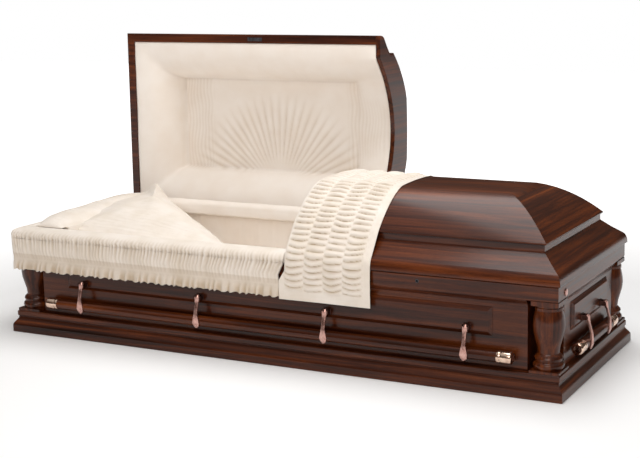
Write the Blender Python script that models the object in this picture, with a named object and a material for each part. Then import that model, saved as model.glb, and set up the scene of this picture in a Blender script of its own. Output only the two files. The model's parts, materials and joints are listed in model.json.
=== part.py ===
# Half-couch hardwood casket: head lid open on its hinge, foot lid shut, four swing bar handles,
# notched corners with turned urn columns, and a cloth interior.
#
# Frame: metres, +Z up, origin on the floor plane under the middle of the box.
# X runs along the length with the head end at -X; the open side faces -Y and the hinges are at +Y.
# Both lids are drawn shut and are then turned about the hinge line by their parent empties.

import bmesh
import bpy
from math import cos, pi, radians, sin, sqrt
from mathutils import Matrix, Vector

# overall sizes
LENGTH = 2.134
WIDTH = 0.765
FIT_GAP = 0.0003
BOARD = 0.019
BOTTOM_BOARD = 0.0195

# base moulding
BASE_BAND = 0.024
BASE_LIP = 0.022
BASE_HEIGHT = 0.079
BASE_INSET = 0.0185

# box walls and the notch cut out of each corner
BOX_HEIGHT = 0.355
WALL_INSET = 0.038
NOTCH = 0.0874

# rail along the top of the walls
RAIL_INSET = 0.022
RAIL_HEIGHT = 0.072
RAIL_FACE = 0.041
SOFFIT_DROP = 0.048

# raised panels
PANEL_DROP = 0.011
PANEL_PROUD = 0.009
PANEL_BEVEL = 0.013
PANEL_END_MARGIN = 0.202
END_PANEL_MARGIN = 0.1545

# turned corner columns
COLUMN_INSET = 0.066
COLUMN_BULGE = 0.0505
COLUMN_NECK = 0.0335
COLUMN_TOP = 0.0420
PLATE_SIZE = 0.095
ABACUS_SIZE = 0.089
PLATE_THICK = 0.0095
ABACUS_THICK = 0.0155
COLUMN_SIDES = 12

# lids
LID_GAP = 0.002
RIM_INSET = 0.0145
RIM_WALL = 0.034
RIM_ROUND = 0.013
RIM_ROUND_RISE = 0.034
RIM_RISE = 0.089
RECESS_HEIGHT = 0.022
RECESS_DEPTH = 0.0075
CROWN_INSET = 0.0685
CROWN_EDGE = 0.0055
CROWN_SHOULDER_RUN = 0.180
CROWN_SHOULDER_RISE = 0.118
CROWN_RISE = 0.122
CROWN_WALL = 0.013
SHOULDER_STEPS = 8
TOP_STEPS = 3
HEADER = 0.018
ARCH_RISE = 0.122
ARCH_HALF_SPAN = 0.286
HEAD_LID_END = 0.097
SPLIT_GAP = 0.003
OPEN_ANGLE = 91.0

# hinge line, measured in from the lid rim's back edge and down from its underside
HINGE_IN = 0.014
HINGE_DOWN = 0.015
HINGE_BARREL = 0.005
HINGE_LEAF = 0.0014
HINGE_END_MARGIN = 0.070

# swing bar handles
PIVOT_OUT = 0.0245
PIVOT_UP = 0.024
BAR_DROP = 0.081
BAR_CLEARANCE = 0.0225
BAR_RADIUS = 0.0185
CAP_RADIUS = 0.0205
CAP_LENGTH = 0.050
BAR_SIDES = 12
SIDE_BAR_MARGIN = 0.164
END_BAR_MARGIN = 0.1825
SIDE_ARM_MARGIN = 0.1575
SIDE_ARMS = 4
END_ARM_MARGIN = 0.100
END_ARMS = 2
ARM_OUT = 0.0175
KNOB_RADIUS = 0.0105
STRAP_WIDTH = 0.0145
BULB_WIDTH = 0.0300
SCREW_RADIUS = 0.0024
SCREW_DEPTH = 0.003
PIN_RADIUS = 0.0028
PIN_CLEARANCE = 0.0006
CHEEK_THICK = 0.0025
CHEEK_GAP = 0.0005
LUG_PLATE = (0.029, 0.020, 0.003)

# small fittings
LATCH_SIZE = (0.065, 0.014, 0.0012)
LATCH_X = -0.445
LATCH_INSET = 0.019
LOCK_RADIUS = 0.0062
LOCK_DEPTH = 0.0095
LOCK_X = 0.577
LOCK_DROP = 0.020
TUBE_CAP_RADIUS = 0.0115
TUBE_CAP_PROUD = 0.004
TUBE_CAP_IN = 0.0695
TUBE_CAP_DROP = 0.028

# cloth
LINING = 0.016
LINING_DROP = 0.010
BED_DEPTH = 0.120
LID_CLOTH = 0.006
LID_PUFF = 0.150
LID_PANEL_DEPTH = 0.140
LID_CLOTH_LIFT = 0.002
PILLOW_LENGTH = 0.700
PILLOW_FRONT_GAP = 0.037
PILLOW_BACK_GAP = 0.002
PILLOW_THICK = 0.205
PILLOW_SPREAD = 0.030
SKIRT_OVER_PIVOT = 0.029
SKIRT_HANG = 0.0195
SKIRT_STANDOFF = 0.008
SKIRT_ROLL_RISE = 0.038
SKIRT_ROLL_DEPTH = 0.072
SKIRT_BACK_GAP = 0.030
BACK_ROLL_RISE = 0.055
BACK_ROLL_WIDTH = 0.085
THROW_WIDTH = 0.316
THROW_CLOTH = 0.006
THROW_LIFT = 0.0015
THROW_OVER_PIVOT = 0.0275
THROW_FLARE = 0.0225

HALF_L = LENGTH / 2
HALF_W = WIDTH / 2
WALL_X = HALF_L - WALL_INSET
WALL_Y = HALF_W - WALL_INSET
RAIL_X = HALF_L - RAIL_INSET
RAIL_Y = HALF_W - RAIL_INSET
RIM_X = HALF_L - RIM_INSET
RIM_Y = HALF_W - RIM_INSET
WALL_TOP = BOX_HEIGHT - RAIL_HEIGHT
CORNER_SOFFIT = BOX_HEIGHT - SOFFIT_DROP
PANEL_TOP = WALL_TOP - PANEL_DROP
PIVOT_HEIGHT = BASE_HEIGHT + BAR_CLEARANCE + CAP_RADIUS + BAR_DROP
PANEL_BOTTOM = PIVOT_HEIGHT - PIVOT_UP
BED_TOP = BOX_HEIGHT - BED_DEPTH
RIM_BOTTOM = BOX_HEIGHT + LID_GAP
CROWN_BASE = RIM_BOTTOM + RIM_RISE + RECESS_HEIGHT + CROWN_EDGE
CROWN_TOP = CROWN_BASE + CROWN_RISE
CROWN_RUN = RIM_Y - CROWN_INSET
HINGE_Y = RIM_Y - HINGE_IN
HINGE_Z = RIM_BOTTOM - HINGE_DOWN
FOOT_LID_START = HEAD_LID_END + SPLIT_GAP


def clear_scene():
    for item in list(bpy.data.objects):
        bpy.data.objects.remove(item, do_unlink=True)


def make_material(name, colour, roughness, metallic=0.0):
    material = bpy.data.materials.new(name)
    material.use_nodes = True
    shader = material.node_tree.nodes["Principled BSDF"]
    shader.inputs["Base Color"].default_value = (*colour, 1.0)
    shader.inputs["Roughness"].default_value = roughness
    shader.inputs["Metallic"].default_value = metallic
    return material


def empty(name, location, turn=(0.0, 0.0, 0.0)):
    holder = bpy.data.objects.new(name, None)
    holder.location = location
    holder.rotation_euler = turn
    bpy.context.scene.collection.objects.link(holder)
    return holder


def make_object(name, bm, material=None, parent=None, smooth=None):
    bmesh.ops.remove_doubles(bm, verts=bm.verts, dist=1e-6)
    bmesh.ops.recalc_face_normals(bm, faces=bm.faces)
    mesh = bpy.data.meshes.new(name)
    bm.to_mesh(mesh)
    bm.free()
    if smooth is not None:
        mesh.shade_smooth()
        mesh.set_sharp_from_angle(angle=radians(smooth))
    if material is not None:
        mesh.materials.append(material)
    made = bpy.data.objects.new(name, mesh)
    bpy.context.scene.collection.objects.link(made)
    made.parent = parent
    return made


def cut(target, cutter, operation="DIFFERENCE"):
    cutter.hide_render = True
    cutter.display_type = "WIRE"
    modifier = target.modifiers.new(operation.lower(), "BOOLEAN")
    modifier.operation = operation
    modifier.solver = "EXACT"
    modifier.object = cutter
    return target


def settled_mesh(target, helpers):
    # The mesh with its modifiers applied, shared by every copy of a repeated piece.
    graph = bpy.context.evaluated_depsgraph_get()
    mesh = bpy.data.meshes.new_from_object(target.evaluated_get(graph))
    for item in [target] + helpers:
        bpy.data.objects.remove(item, do_unlink=True)
    return mesh


def link_copy(name, mesh, parent, place):
    made = bpy.data.objects.new(name, mesh)
    bpy.context.scene.collection.objects.link(made)
    made.parent = parent
    made.location = place
    return made


def box_mesh(low, high):
    bm = bmesh.new()
    bmesh.ops.create_cube(bm, size=1.0)
    size = Vector(high) - Vector(low)
    bmesh.ops.scale(bm, vec=size, verts=bm.verts)
    bmesh.ops.translate(bm, vec=(Vector(high) + Vector(low)) / 2, verts=bm.verts)
    return bm


def loft(loops):
    # Skins a list of rings of points and caps both ends.
    bm = bmesh.new()
    rings = [[bm.verts.new(point) for point in loop] for loop in loops]
    count = len(rings[0])
    for lower, upper in zip(rings, rings[1:]):
        for i in range(count):
            j = (i + 1) % count
            bm.faces.new((lower[i], lower[j], upper[j], upper[i]))
    bm.faces.new(list(reversed(rings[0])))
    bm.faces.new(rings[-1])
    return bm


def prism(outline, low, high, axis="Z"):
    # Extrudes a flat outline; axis X reads the outline as (y, z) pairs.
    if axis == "Z":
        ends = [[(x, y, level) for x, y in outline] for level in (low, high)]
    else:
        ends = [[(level, y, z) for y, z in outline] for level in (low, high)]
    return loft(ends)


def ring_prism(outer, inner, low, high):
    # A frame between two outlines with the same number of corners.
    bm = bmesh.new()
    corners = {}
    for level in (low, high):
        for tag, outline in (("out", outer), ("in", inner)):
            corners[tag, level] = [bm.verts.new((x, y, level)) for x, y in outline]
    count = len(outer)
    for i in range(count):
        j = (i + 1) % count
        for a, b in ((("out", low), ("out", high)), (("in", high), ("in", low)),
                     (("out", high), ("in", high)), (("in", low), ("out", low))):
            bm.faces.new((corners[a][i], corners[a][j], corners[b][j], corners[b][i]))
    return bm


def arc(centre, radius, start, end, steps):
    # Points on an arc, angles in degrees.
    points = []
    for i in range(steps + 1):
        angle = radians(start + (end - start) * i / steps)
        points.append((centre[0] + radius * cos(angle), centre[1] + radius * sin(angle)))
    return points


def ease(t):
    return 0.5 - 0.5 * cos(pi * t)


def lathe(profile, sides, axis="Z"):
    # Turns (radius, height) pairs about an axis.
    loops = []
    for radius, level in profile:
        loop = []
        for i in range(sides):
            angle = 2 * pi * (i + 0.5) / sides
            a = radius * cos(angle)
            b = radius * sin(angle)
            loop.append((a, b, level) if axis == "Z" else (level, a, b))
        loops.append(loop)
    return loft(loops)


def notched_outline(half_x, half_y, notch_x, notch_y):
    # Rectangle with a square notch out of each corner, anticlockwise from the front left.
    x, y = half_x, half_y
    u, v = half_x - notch_x, half_y - notch_y
    return [(-u, -y), (u, -y), (u, -v), (x, -v), (x, v), (u, v),
            (u, y), (-u, y), (-u, v), (-x, v), (-x, -v), (-u, -v)]


def wall_outline(offset):
    # Plan of the walls' outer faces, moved inward by offset.
    return notched_outline(WALL_X - offset, WALL_Y - offset, NOTCH, NOTCH)


def moulding(half_x, half_y, profile):
    # A solid slab whose four sides carry one profile of (inset, height) pairs.
    loops = []
    for inset, level in profile:
        x, y = half_x - inset, half_y - inset
        loops.append([(-x, -y, level), (x, -y, level), (x, y, level), (-x, y, level)])
    return loft(loops)


def base_profile():
    # Flat band, an ogee that leans in, a small quirk, and a square lip at the top edge.
    chamfer = 0.0015
    ogee_top = BASE_HEIGHT - BASE_LIP
    deep = BASE_INSET * 0.95
    lip = BASE_INSET * 0.76
    points = [(chamfer, 0.0), (0.0, chamfer), (0.0, BASE_BAND)]
    steps = 6
    for i in range(1, steps + 1):
        t = i / steps
        points.append((deep * ease(t), BASE_BAND + (ogee_top - BASE_BAND) * t))
    points += [(lip, ogee_top + BASE_LIP * 0.18), (lip, BASE_HEIGHT - chamfer * 2),
               (lip + chamfer * 2, BASE_HEIGHT)]
    return points


def rail_profile():
    # Eases from the wall's face out to the flat fascia, with a rounded top edge.
    reach = WALL_INSET - RAIL_INSET
    points = []
    for i in range(7):
        t = i / 6
        points.append((reach * (1 - ease(t)), WALL_TOP + (RAIL_HEIGHT - RAIL_FACE) * t))
    edge = 0.003
    points += [(edge - edge * cos(a), BOX_HEIGHT - edge + edge * sin(a)) for a in (0.0, pi / 4, pi / 2)]
    return points


def crown_height(run):
    # Height of the lid's crown above its lower edge: a rounded shoulder, then a nearly flat top.
    if run >= CROWN_SHOULDER_RUN:
        t = (run - CROWN_SHOULDER_RUN) / (CROWN_RUN - CROWN_SHOULDER_RUN)
        return CROWN_SHOULDER_RISE + (CROWN_RISE - CROWN_SHOULDER_RISE) * sin(min(t, 1.0) * pi / 2)
    t = run / CROWN_SHOULDER_RUN
    return CROWN_SHOULDER_RISE * (0.6 * (1 - (1 - t) ** 2) + 0.4 * t)


def crown_runs(first, last, shoulder_steps, top_steps):
    # Distances in from the crown's edge, closer together where it curves most.
    spread = CROWN_SHOULDER_RUN - first
    runs = [first + spread * (i / shoulder_steps) ** 1.2 for i in range(shoulder_steps)]
    reach = last - CROWN_SHOULDER_RUN
    return runs + [CROWN_SHOULDER_RUN + reach * i / top_steps for i in range(top_steps + 1)]


def rim_profile():
    # Lid rim from its underside to the ledge below the crown: a rounded edge, then a slope.
    edge = 0.002
    points = [(edge, RIM_BOTTOM), (0.0, RIM_BOTTOM + edge)]
    steps = 4
    start = RIM_BOTTOM + edge * 2
    for i in range(steps + 1):
        turn = radians(72) * i / steps
        points.append((RIM_ROUND * (1 - cos(turn)) / (1 - cos(radians(72))),
                       start + RIM_ROUND_RISE * sin(turn) / sin(radians(72))))
    ledge = (CROWN_INSET + RECESS_DEPTH - 0.001, RIM_BOTTOM + RIM_RISE)
    last = points[-1]
    sag = 0.002
    for t in (0.5, 1.0):
        points.append((last[0] + (ledge[0] - last[0]) * t,
                       last[1] + (ledge[1] - last[1]) * t - sag * sin(pi * t)))
    return points


def lid_profile():
    # Rim, recess under the crown, crown edge and crown, as (inset, height) pairs.
    ledge = RIM_BOTTOM + RIM_RISE
    back = CROWN_INSET + RECESS_DEPTH
    points = rim_profile()
    points += [(back, ledge + 0.001), (back, ledge + RECESS_HEIGHT)]
    points += [(CROWN_INSET + 0.002, ledge + RECESS_HEIGHT + 0.0005),
               (CROWN_INSET, ledge + RECESS_HEIGHT + 0.002)]
    for run in crown_runs(0.0, CROWN_RUN - 0.004, SHOULDER_STEPS, TOP_STEPS):
        points.append((CROWN_INSET + run, CROWN_BASE + crown_height(run)))
    return points


def hollow_profile():
    # Inside of the lid shell: upright behind the rim, then under the crown.
    ledge = RIM_BOTTOM + RIM_RISE
    back = CROWN_INSET + RECESS_DEPTH + CROWN_WALL
    points = [(RIM_WALL, RIM_BOTTOM - 0.02), (RIM_WALL, RIM_BOTTOM + RIM_RISE * 0.4),
              (back - 0.010, ledge - 0.020), (back, ledge - 0.008), (back, ledge + RECESS_HEIGHT * 0.8)]
    shift = 0.006
    first = back - CROWN_INSET - shift
    for run in crown_runs(first, CROWN_RUN - 0.012, SHOULDER_STEPS - 2, TOP_STEPS - 1):
        points.append((CROWN_INSET + run + shift, CROWN_BASE + crown_height(run) - CROWN_WALL))
    return points


def lid_solid(profile, start, end, hip_start, hip_end):
    # A lid form between two X limits; a hipped end carries the profile, a plain end is square.
    loops = []
    for inset, level in profile:
        y = RIM_Y - inset
        x0 = start + inset if hip_start else start
        x1 = end - inset if hip_end else end
        loops.append([(x0, -y, level), (x1, -y, level), (x1, y, level), (x0, y, level)])
    return loft(loops)


def to_hinge(bm):
    bmesh.ops.translate(bm, vec=(0.0, -HINGE_Y, -HINGE_Z), verts=bm.verts)
    return bm


def arch_height(across):
    # Height of the header's arch above the rim's underside, by distance from the middle.
    t = abs(across) / ARCH_HALF_SPAN
    if t >= 1.0:
        return 0.0
    return ARCH_RISE * (1 - t * t) * ease(min(1.0, (1 - t) / 0.12))


def header_outline():
    # Section of the lid with a shallow arch cut into its lower edge.
    right = [(RIM_Y - inset, level) for inset, level in lid_profile()]
    left = [(-y, z) for y, z in reversed(right)]
    steps = 16
    arch = []
    for i in range(steps + 1):
        across = -ARCH_HALF_SPAN + 2 * ARCH_HALF_SPAN * i / steps
        arch.append((across, RIM_BOTTOM + arch_height(across)))
    return right + left + arch


def lid_shell(name, material, parent, start, end, hip_start, hip_end):
    solid = to_hinge(lid_solid(lid_profile(), start, end, hip_start, hip_end))
    shell = make_object(name, solid, material, parent)
    reach = 0.02
    inner_start = start if hip_start else start - reach
    inner_end = end if hip_end else end + reach
    hollow = to_hinge(lid_solid(hollow_profile(), inner_start, inner_end, hip_start, hip_end))
    cut(shell, make_object(name + "_hollow", hollow, None, parent))
    return shell


def puff(distance):
    # Share of the panel's depth reached at a distance in from a padded roll's outer edge.
    t = min(1.0, max(0.0, distance / LID_PUFF))
    return 1 - sqrt(max(0.0, 1 - t * t))


def lid_lining(name, material, parent, start, end, header_at_start):
    # Padded cloth frame round a sunk panel: four rolls that mitre at the corners.
    edge_y = RIM_Y - RIM_WALL - FIT_GAP * 2
    clear = HEADER + FIT_GAP * 3
    x0 = start + (clear if header_at_start else RIM_WALL + FIT_GAP * 2)
    x1 = end - (RIM_WALL + FIT_GAP * 2 if header_at_start else clear)
    marks = [0.0, 0.30, 0.65, 1.0]
    side = [m * LID_PUFF for m in marks]

    def depth(x, y):
        from_head = x - x0
        from_foot = x1 - x
        from_header, from_rim = (from_head, from_foot) if header_at_start else (from_foot, from_head)
        across = edge_y - abs(y)
        arch = arch_height(y)
        by_header = arch + (LID_PANEL_DEPTH - arch) * puff(from_header)
        return min(LID_PANEL_DEPTH * puff(across), LID_PANEL_DEPTH * puff(from_rim), by_header)

    xs = [x0 + s for s in side] + [(x0 + x1) / 2] + [x1 - s for s in reversed(side)]
    ys = [-edge_y + s for s in side] + [0.0] + [edge_y - s for s in reversed(side)]
    bm = bmesh.new()
    sheets = []
    for lift in (LID_CLOTH_LIFT, LID_CLOTH_LIFT + LID_CLOTH):
        sheets.append([[bm.verts.new((x, y, RIM_BOTTOM + lift + depth(x, y))) for y in ys] for x in xs])
    for k, sheet in enumerate(sheets):
        for i in range(len(xs) - 1):
            for j in range(len(ys) - 1):
                bm.faces.new((sheet[i][j], sheet[i + 1][j], sheet[i + 1][j + 1], sheet[i][j + 1]))
    low, high = sheets
    rim = [(i, 0) for i in range(len(xs) - 1)] + [(len(xs) - 1, j) for j in range(len(ys) - 1)]
    rim += [(i, len(ys) - 1) for i in range(len(xs) - 1, 0, -1)] + [(0, j) for j in range(len(ys) - 1, 0, -1)]
    for (i, j), (k, m) in zip(rim, rim[1:] + rim[:1]):
        bm.faces.new((low[i][j], low[k][m], high[k][m], high[i][j]))
    return make_object(name, to_hinge(bm), material, parent, smooth=40)


def hinge_leaf(name, material, parent, start, end):
    # Barrel on the hinge line with one leaf up to the lid's underside.
    half = HINGE_LEAF / 2
    open_angle = 8.0
    ring = arc((0.0, 0.0), HINGE_BARREL, 90 + open_angle, 450 - open_angle, 12)
    top = HINGE_DOWN - FIT_GAP
    outline = ring + [(half, top), (-half, top)]
    return make_object(name, prism(outline, start, end, axis="X"), material, parent)


def raised_panel(name, material, length, place, turn):
    # Flat field with a sloped margin on all four sides, back face against its wall.
    low, high = PANEL_BOTTOM, PANEL_TOP
    quirk = 0.0015
    loops = []
    for inset, out in ((0.0, FIT_GAP), (0.0, quirk), (PANEL_BEVEL * 0.45, PANEL_PROUD * 0.45),
                       (PANEL_BEVEL - 0.001, PANEL_PROUD - 0.001), (PANEL_BEVEL + 0.001, PANEL_PROUD)):
        x = length / 2 - inset
        loops.append([(-x, -out, low + inset), (x, -out, low + inset),
                      (x, -out, high - inset), (-x, -out, high - inset)])
    made = make_object(name, loft(loops), material)
    made.location = place
    made.rotation_euler = (0.0, 0.0, turn)
    return made


def column_profile():
    # Two rings, a neck, a swelling vase and a top ring, turned about the column's axis.
    # Heights are shares of the turned length between the two square plates.
    start = BASE_HEIGHT + PLATE_THICK
    turned = CORNER_SOFFIT - ABACUS_THICK - start
    bury = 0.002
    low_ring, high_ring = COLUMN_BULGE * 0.985, COLUMN_BULGE * 0.89
    points = [(low_ring * 0.9, -bury / turned), (low_ring * 0.9, 0.012)]
    points += [(low_ring * (0.9 + 0.1 * cos(a)), 0.062 + 0.040 * sin(a)) for a in (-1.1, 0.0, 1.1)]
    points += [(high_ring * 0.91, 0.124)]
    points += [(high_ring * (0.9 + 0.1 * cos(a)), 0.178 + 0.034 * sin(a)) for a in (-1.1, 0.0, 1.1)]
    neck, widest, lip = 0.250, 0.670, 0.918
    for i in range(5):
        t = i / 4
        points.append((COLUMN_NECK + (COLUMN_BULGE - COLUMN_NECK) * ease(t), neck + (widest - neck) * t))
    for i in range(1, 4):
        t = i / 3
        points.append((COLUMN_BULGE - (COLUMN_BULGE - COLUMN_TOP) * t * t, widest + (lip - widest) * t))
    points += [(COLUMN_TOP * 1.06, 0.925), (COLUMN_TOP * 1.06, 0.965), (COLUMN_TOP, 0.975),
               (COLUMN_TOP, 1 + bury / turned)]
    return [(radius, start + share * turned) for radius, share in points]


def corner_column(material):
    # Square foot plate, turned body and square top plate as one piece.
    half = PLATE_SIZE / 2
    top_half = ABACUS_SIZE / 2
    foot = BASE_HEIGHT + FIT_GAP
    head = CORNER_SOFFIT - FIT_GAP
    body = make_object("column_body", lathe(column_profile(), COLUMN_SIDES), material, smooth=35)
    plate = make_object("column_plate", box_mesh((-half, -half, foot), (half, half, foot + PLATE_THICK)))
    abacus = make_object("column_abacus", box_mesh((-top_half, -top_half, head - ABACUS_THICK),
                                                   (top_half, top_half, head)))
    cut(body, plate, "UNION")
    cut(body, abacus, "UNION")
    return settled_mesh(body, [plate, abacus])


def oval(half_x, half_y, place, sides=6):
    # One elliptical section of the handle arm, at (y, z).
    loop = []
    for i in range(sides):
        angle = 2 * pi * (i + 0.5) / sides
        loop.append((half_x * cos(angle), place[0] + half_y * sin(angle), place[1]))
    return loop


def handle_arm(material):
    # Round boss over the pivot, a flat strap, and a teardrop that laps over the front of the bar.
    knob = KNOB_RADIUS
    strap, bulb = STRAP_WIDTH / 2, BULB_WIDTH / 2
    thick = strap * 0.75
    out, drop = ARM_OUT, BAR_DROP
    sections = [
        (knob * 0.5, knob * 0.6, -out * 0.12, knob * 1.05), (knob, knob * 0.9, -out * 0.12, knob * 0.35),
        (knob * 0.9, knob * 0.8, -out * 0.2, -knob * 0.75), (strap, thick, -out * 0.45, -knob * 1.7),
        (strap, thick, -out, -drop * 0.64), (bulb * 0.8, thick * 1.3, -out, -drop * 0.86),
        (bulb, thick * 1.5, -out, -drop * 1.04), (bulb * 0.8, thick * 1.2, -out * 0.85, -drop * 1.18),
        (bulb * 0.35, thick * 0.7, -out * 0.75, -drop * 1.28),
    ]
    loops = [oval(x, y, (place_y, place_z)) for x, y, place_y, place_z in reversed(sections)]
    arm = make_object("arm_body", loft(loops), material, smooth=50)
    bore = lathe([(PIN_RADIUS + PIN_CLEARANCE, -0.02), (PIN_RADIUS + PIN_CLEARANCE, 0.02)], 6, axis="X")
    eye = make_object("arm_eye", bore)
    seat = lathe([(BAR_RADIUS + FIT_GAP, -0.03), (BAR_RADIUS + FIT_GAP, 0.03)], BAR_SIDES, axis="X")
    bmesh.ops.translate(seat, vec=(0.0, 0.0, -BAR_DROP), verts=seat.verts)
    saddle = make_object("arm_saddle", seat)
    face = -ARM_OUT * 0.12 - KNOB_RADIUS * 0.9
    dimple = lathe([(SCREW_RADIUS, -0.01), (SCREW_RADIUS, SCREW_DEPTH)], 6)
    bmesh.ops.rotate(dimple, matrix=Matrix.Rotation(-pi / 2, 3, "X"), verts=dimple.verts)
    bmesh.ops.translate(dimple, vec=(0.0, face, KNOB_RADIUS * 0.1), verts=dimple.verts)
    screw = make_object("arm_screw_hole", dimple)
    for cutter in (eye, saddle, screw):
        cut(arm, cutter)
    return settled_mesh(arm, [eye, saddle, screw])


def handle_lug(material):
    # Back plate with two cheeks and the pivot pin between them.
    width, height, thick = LUG_PLATE
    back = PIVOT_OUT - PANEL_PROUD - FIT_GAP
    plate = make_object("lug_plate", box_mesh((-width / 2, back - thick, -height / 2),
                                              (width / 2, back, height / 2)), material)
    inner = KNOB_RADIUS + CHEEK_GAP
    cheek = KNOB_RADIUS * 0.75
    outline = [(y, z) for z, y in arc((0.0, 0.0), cheek, 180, 360, 4)]
    outline += [(back - thick / 2, cheek), (back - thick / 2, -cheek)]
    helpers = []
    for side in (-1, 1):
        edges = sorted((side * inner, side * (inner + CHEEK_THICK)))
        helpers.append(make_object("lug_cheek", prism(outline, edges[0], edges[1], axis="X")))
    reach = inner + CHEEK_THICK / 2
    helpers.append(make_object("lug_pin", lathe([(PIN_RADIUS, -reach), (PIN_RADIUS, reach)], 6, axis="X")))
    for helper in helpers:
        cut(plate, helper, "UNION")
    return settled_mesh(plate, helpers)


def bar_profile(length):
    # Wooden rod with a turned cap on each end, as (radius, distance) pairs along the bar.
    half = length / 2
    inner = half - CAP_LENGTH
    bead = CAP_LENGTH * 0.2
    tip = [(BAR_RADIUS, inner), (CAP_RADIUS, inner + bead * 0.3), (CAP_RADIUS, inner + bead),
           (CAP_RADIUS * 0.94, inner + bead * 1.4), (CAP_RADIUS, half - bead * 0.5),
           (CAP_RADIUS * 0.75, half)]
    return [(r, -d) for r, d in reversed(tip)] + tip


def handle(name, wood, arm_mesh, lug_mesh, place, turn, length, arms, margin):
    pivot = empty(name + "_pivot", place, (0.0, 0.0, turn))
    rod = lathe(bar_profile(length), BAR_SIDES, axis="X")
    bmesh.ops.translate(rod, vec=(0.0, 0.0, -BAR_DROP), verts=rod.verts)
    make_object(name + "_bar", rod, wood, pivot, smooth=40)
    spacing = (length - 2 * margin) / (arms - 1)
    for i in range(arms):
        x = (i - (arms - 1) / 2) * spacing
        link_copy(f"{name}_arm_{i + 1}", arm_mesh, pivot, (x, 0.0, 0.0))
        link_copy(f"{name}_lug_{i + 1}", lug_mesh, pivot, (x, 0.0, 0.0))


def side_wall(name, material, side):
    # One long wall with a return at each end that forms a side of the corner notches.
    gap = FIT_GAP / 2
    inner_x = WALL_X - NOTCH
    inner_y = WALL_Y - NOTCH
    outline = [(-inner_x, inner_y + gap), (-inner_x, WALL_Y), (inner_x, WALL_Y), (inner_x, inner_y + gap),
               (inner_x - BOARD, inner_y - BOARD + gap), (inner_x - BOARD, WALL_Y - BOARD),
               (-inner_x + BOARD, WALL_Y - BOARD), (-inner_x + BOARD, inner_y - BOARD + gap)]
    placed = [(x, y * side) for x, y in outline]
    return make_object(name, prism(placed, BOTTOM_BOARD + FIT_GAP, WALL_TOP - FIT_GAP), material)


def end_wall(name, material, side):
    # One end wall with its two returns, mitred against the long walls.
    gap = FIT_GAP / 2
    inner_x = WALL_X - NOTCH
    inner_y = WALL_Y - NOTCH
    outline = [(inner_x + gap, inner_y - gap), (WALL_X, inner_y - gap), (WALL_X, -inner_y + gap),
               (inner_x + gap, -inner_y + gap), (inner_x - BOARD + gap, -inner_y + BOARD + gap),
               (WALL_X - BOARD, -inner_y + BOARD + gap), (WALL_X - BOARD, inner_y - BOARD - gap),
               (inner_x - BOARD + gap, inner_y - BOARD - gap)]
    placed = [(x * side, y) for x, y in outline]
    return make_object(name, prism(placed, BOTTOM_BOARD + FIT_GAP, WALL_TOP - FIT_GAP), material)


def base_moulding(material):
    made = make_object("base_moulding", moulding(HALF_L, HALF_W, base_profile()), material)
    opening = prism(wall_outline(-FIT_GAP), -0.01, BASE_HEIGHT + 0.01)
    return cut(made, make_object("base_opening", opening))


def top_rail(material):
    made = make_object("top_rail", moulding(RAIL_X, RAIL_Y, rail_profile()), material)
    opening = prism(wall_outline(BOARD), WALL_TOP - 0.01, BOX_HEIGHT + 0.01)
    cut(made, make_object("rail_opening", opening))
    inner_x = WALL_X - NOTCH
    inner_y = WALL_Y - NOTCH
    for sx in (-1, 1):
        for sy in (-1, 1):
            xs = sorted((sx * inner_x, sx * HALF_L))
            ys = sorted((sy * inner_y, sy * HALF_W))
            block = box_mesh((xs[0], ys[0], WALL_TOP - 0.01), (xs[1], ys[1], CORNER_SOFFIT))
            cut(made, make_object("rail_notch", block))
    back = HINGE_Y - HINGE_BARREL - FIT_GAP
    floor = HINGE_Z - HINGE_BARREL - FIT_GAP
    for start, end in hinge_spans():
        rebate = box_mesh((start - 0.001, back, floor), (end + 0.001, HALF_W, BOX_HEIGHT + 0.01))
        cut(made, make_object("rail_rebate", rebate))
    bore = lathe([(LOCK_RADIUS + FIT_GAP, -0.02), (LOCK_RADIUS + FIT_GAP, LOCK_DEPTH + FIT_GAP)], 16)
    bmesh.ops.rotate(bore, matrix=Matrix.Rotation(-pi / 2, 3, "X"), verts=bore.verts)
    bmesh.ops.translate(bore, vec=(LOCK_X, -RAIL_Y, BOX_HEIGHT - LOCK_DROP), verts=bore.verts)
    cut(made, make_object("rail_lock_bore", bore))
    return made


def hinge_spans():
    return ((-RIM_X + HINGE_END_MARGIN, HEAD_LID_END - HINGE_END_MARGIN),
            (FOOT_LID_START + HINGE_END_MARGIN, RIM_X - HINGE_END_MARGIN))


def lock_socket(material):
    # Round socket for the lid key, with a blind hole.
    inner = 0.004
    profile = [(inner, 0.007), (inner, 0.0), (LOCK_RADIUS, 0.0), (LOCK_RADIUS, LOCK_DEPTH)]
    bm = lathe(profile, 16)
    bmesh.ops.rotate(bm, matrix=Matrix.Rotation(-pi / 2, 3, "X"), verts=bm.verts)
    bmesh.ops.translate(bm, vec=(LOCK_X, -RAIL_Y, BOX_HEIGHT - LOCK_DROP), verts=bm.verts)
    return make_object("lock_socket", bm, material)


def tube_cap(material):
    # Screw cap of the record tube in the foot end of the rail.
    profile = [(TUBE_CAP_RADIUS, FIT_GAP), (TUBE_CAP_RADIUS, TUBE_CAP_PROUD * 0.6),
               (TUBE_CAP_RADIUS * 0.8, TUBE_CAP_PROUD)]
    bm = lathe(profile, 16)
    bmesh.ops.rotate(bm, matrix=Matrix.Rotation(pi / 2, 3, "Y"), verts=bm.verts)
    bmesh.ops.translate(bm, vec=(RAIL_X, TUBE_CAP_IN - RAIL_Y, BOX_HEIGHT - TUBE_CAP_DROP), verts=bm.verts)
    return make_object("record_tube_cap", bm, material)


def latch_plate(material, parent):
    length, width, thick = LATCH_SIZE
    y = -RIM_Y + LATCH_INSET
    top = RIM_BOTTOM - FIT_GAP
    bm = box_mesh((LATCH_X - length / 2, y - width / 2, top - thick),
                  (LATCH_X + length / 2, y + width / 2, top))
    return make_object("latch_plate", to_hinge(bm), material, parent)


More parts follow.
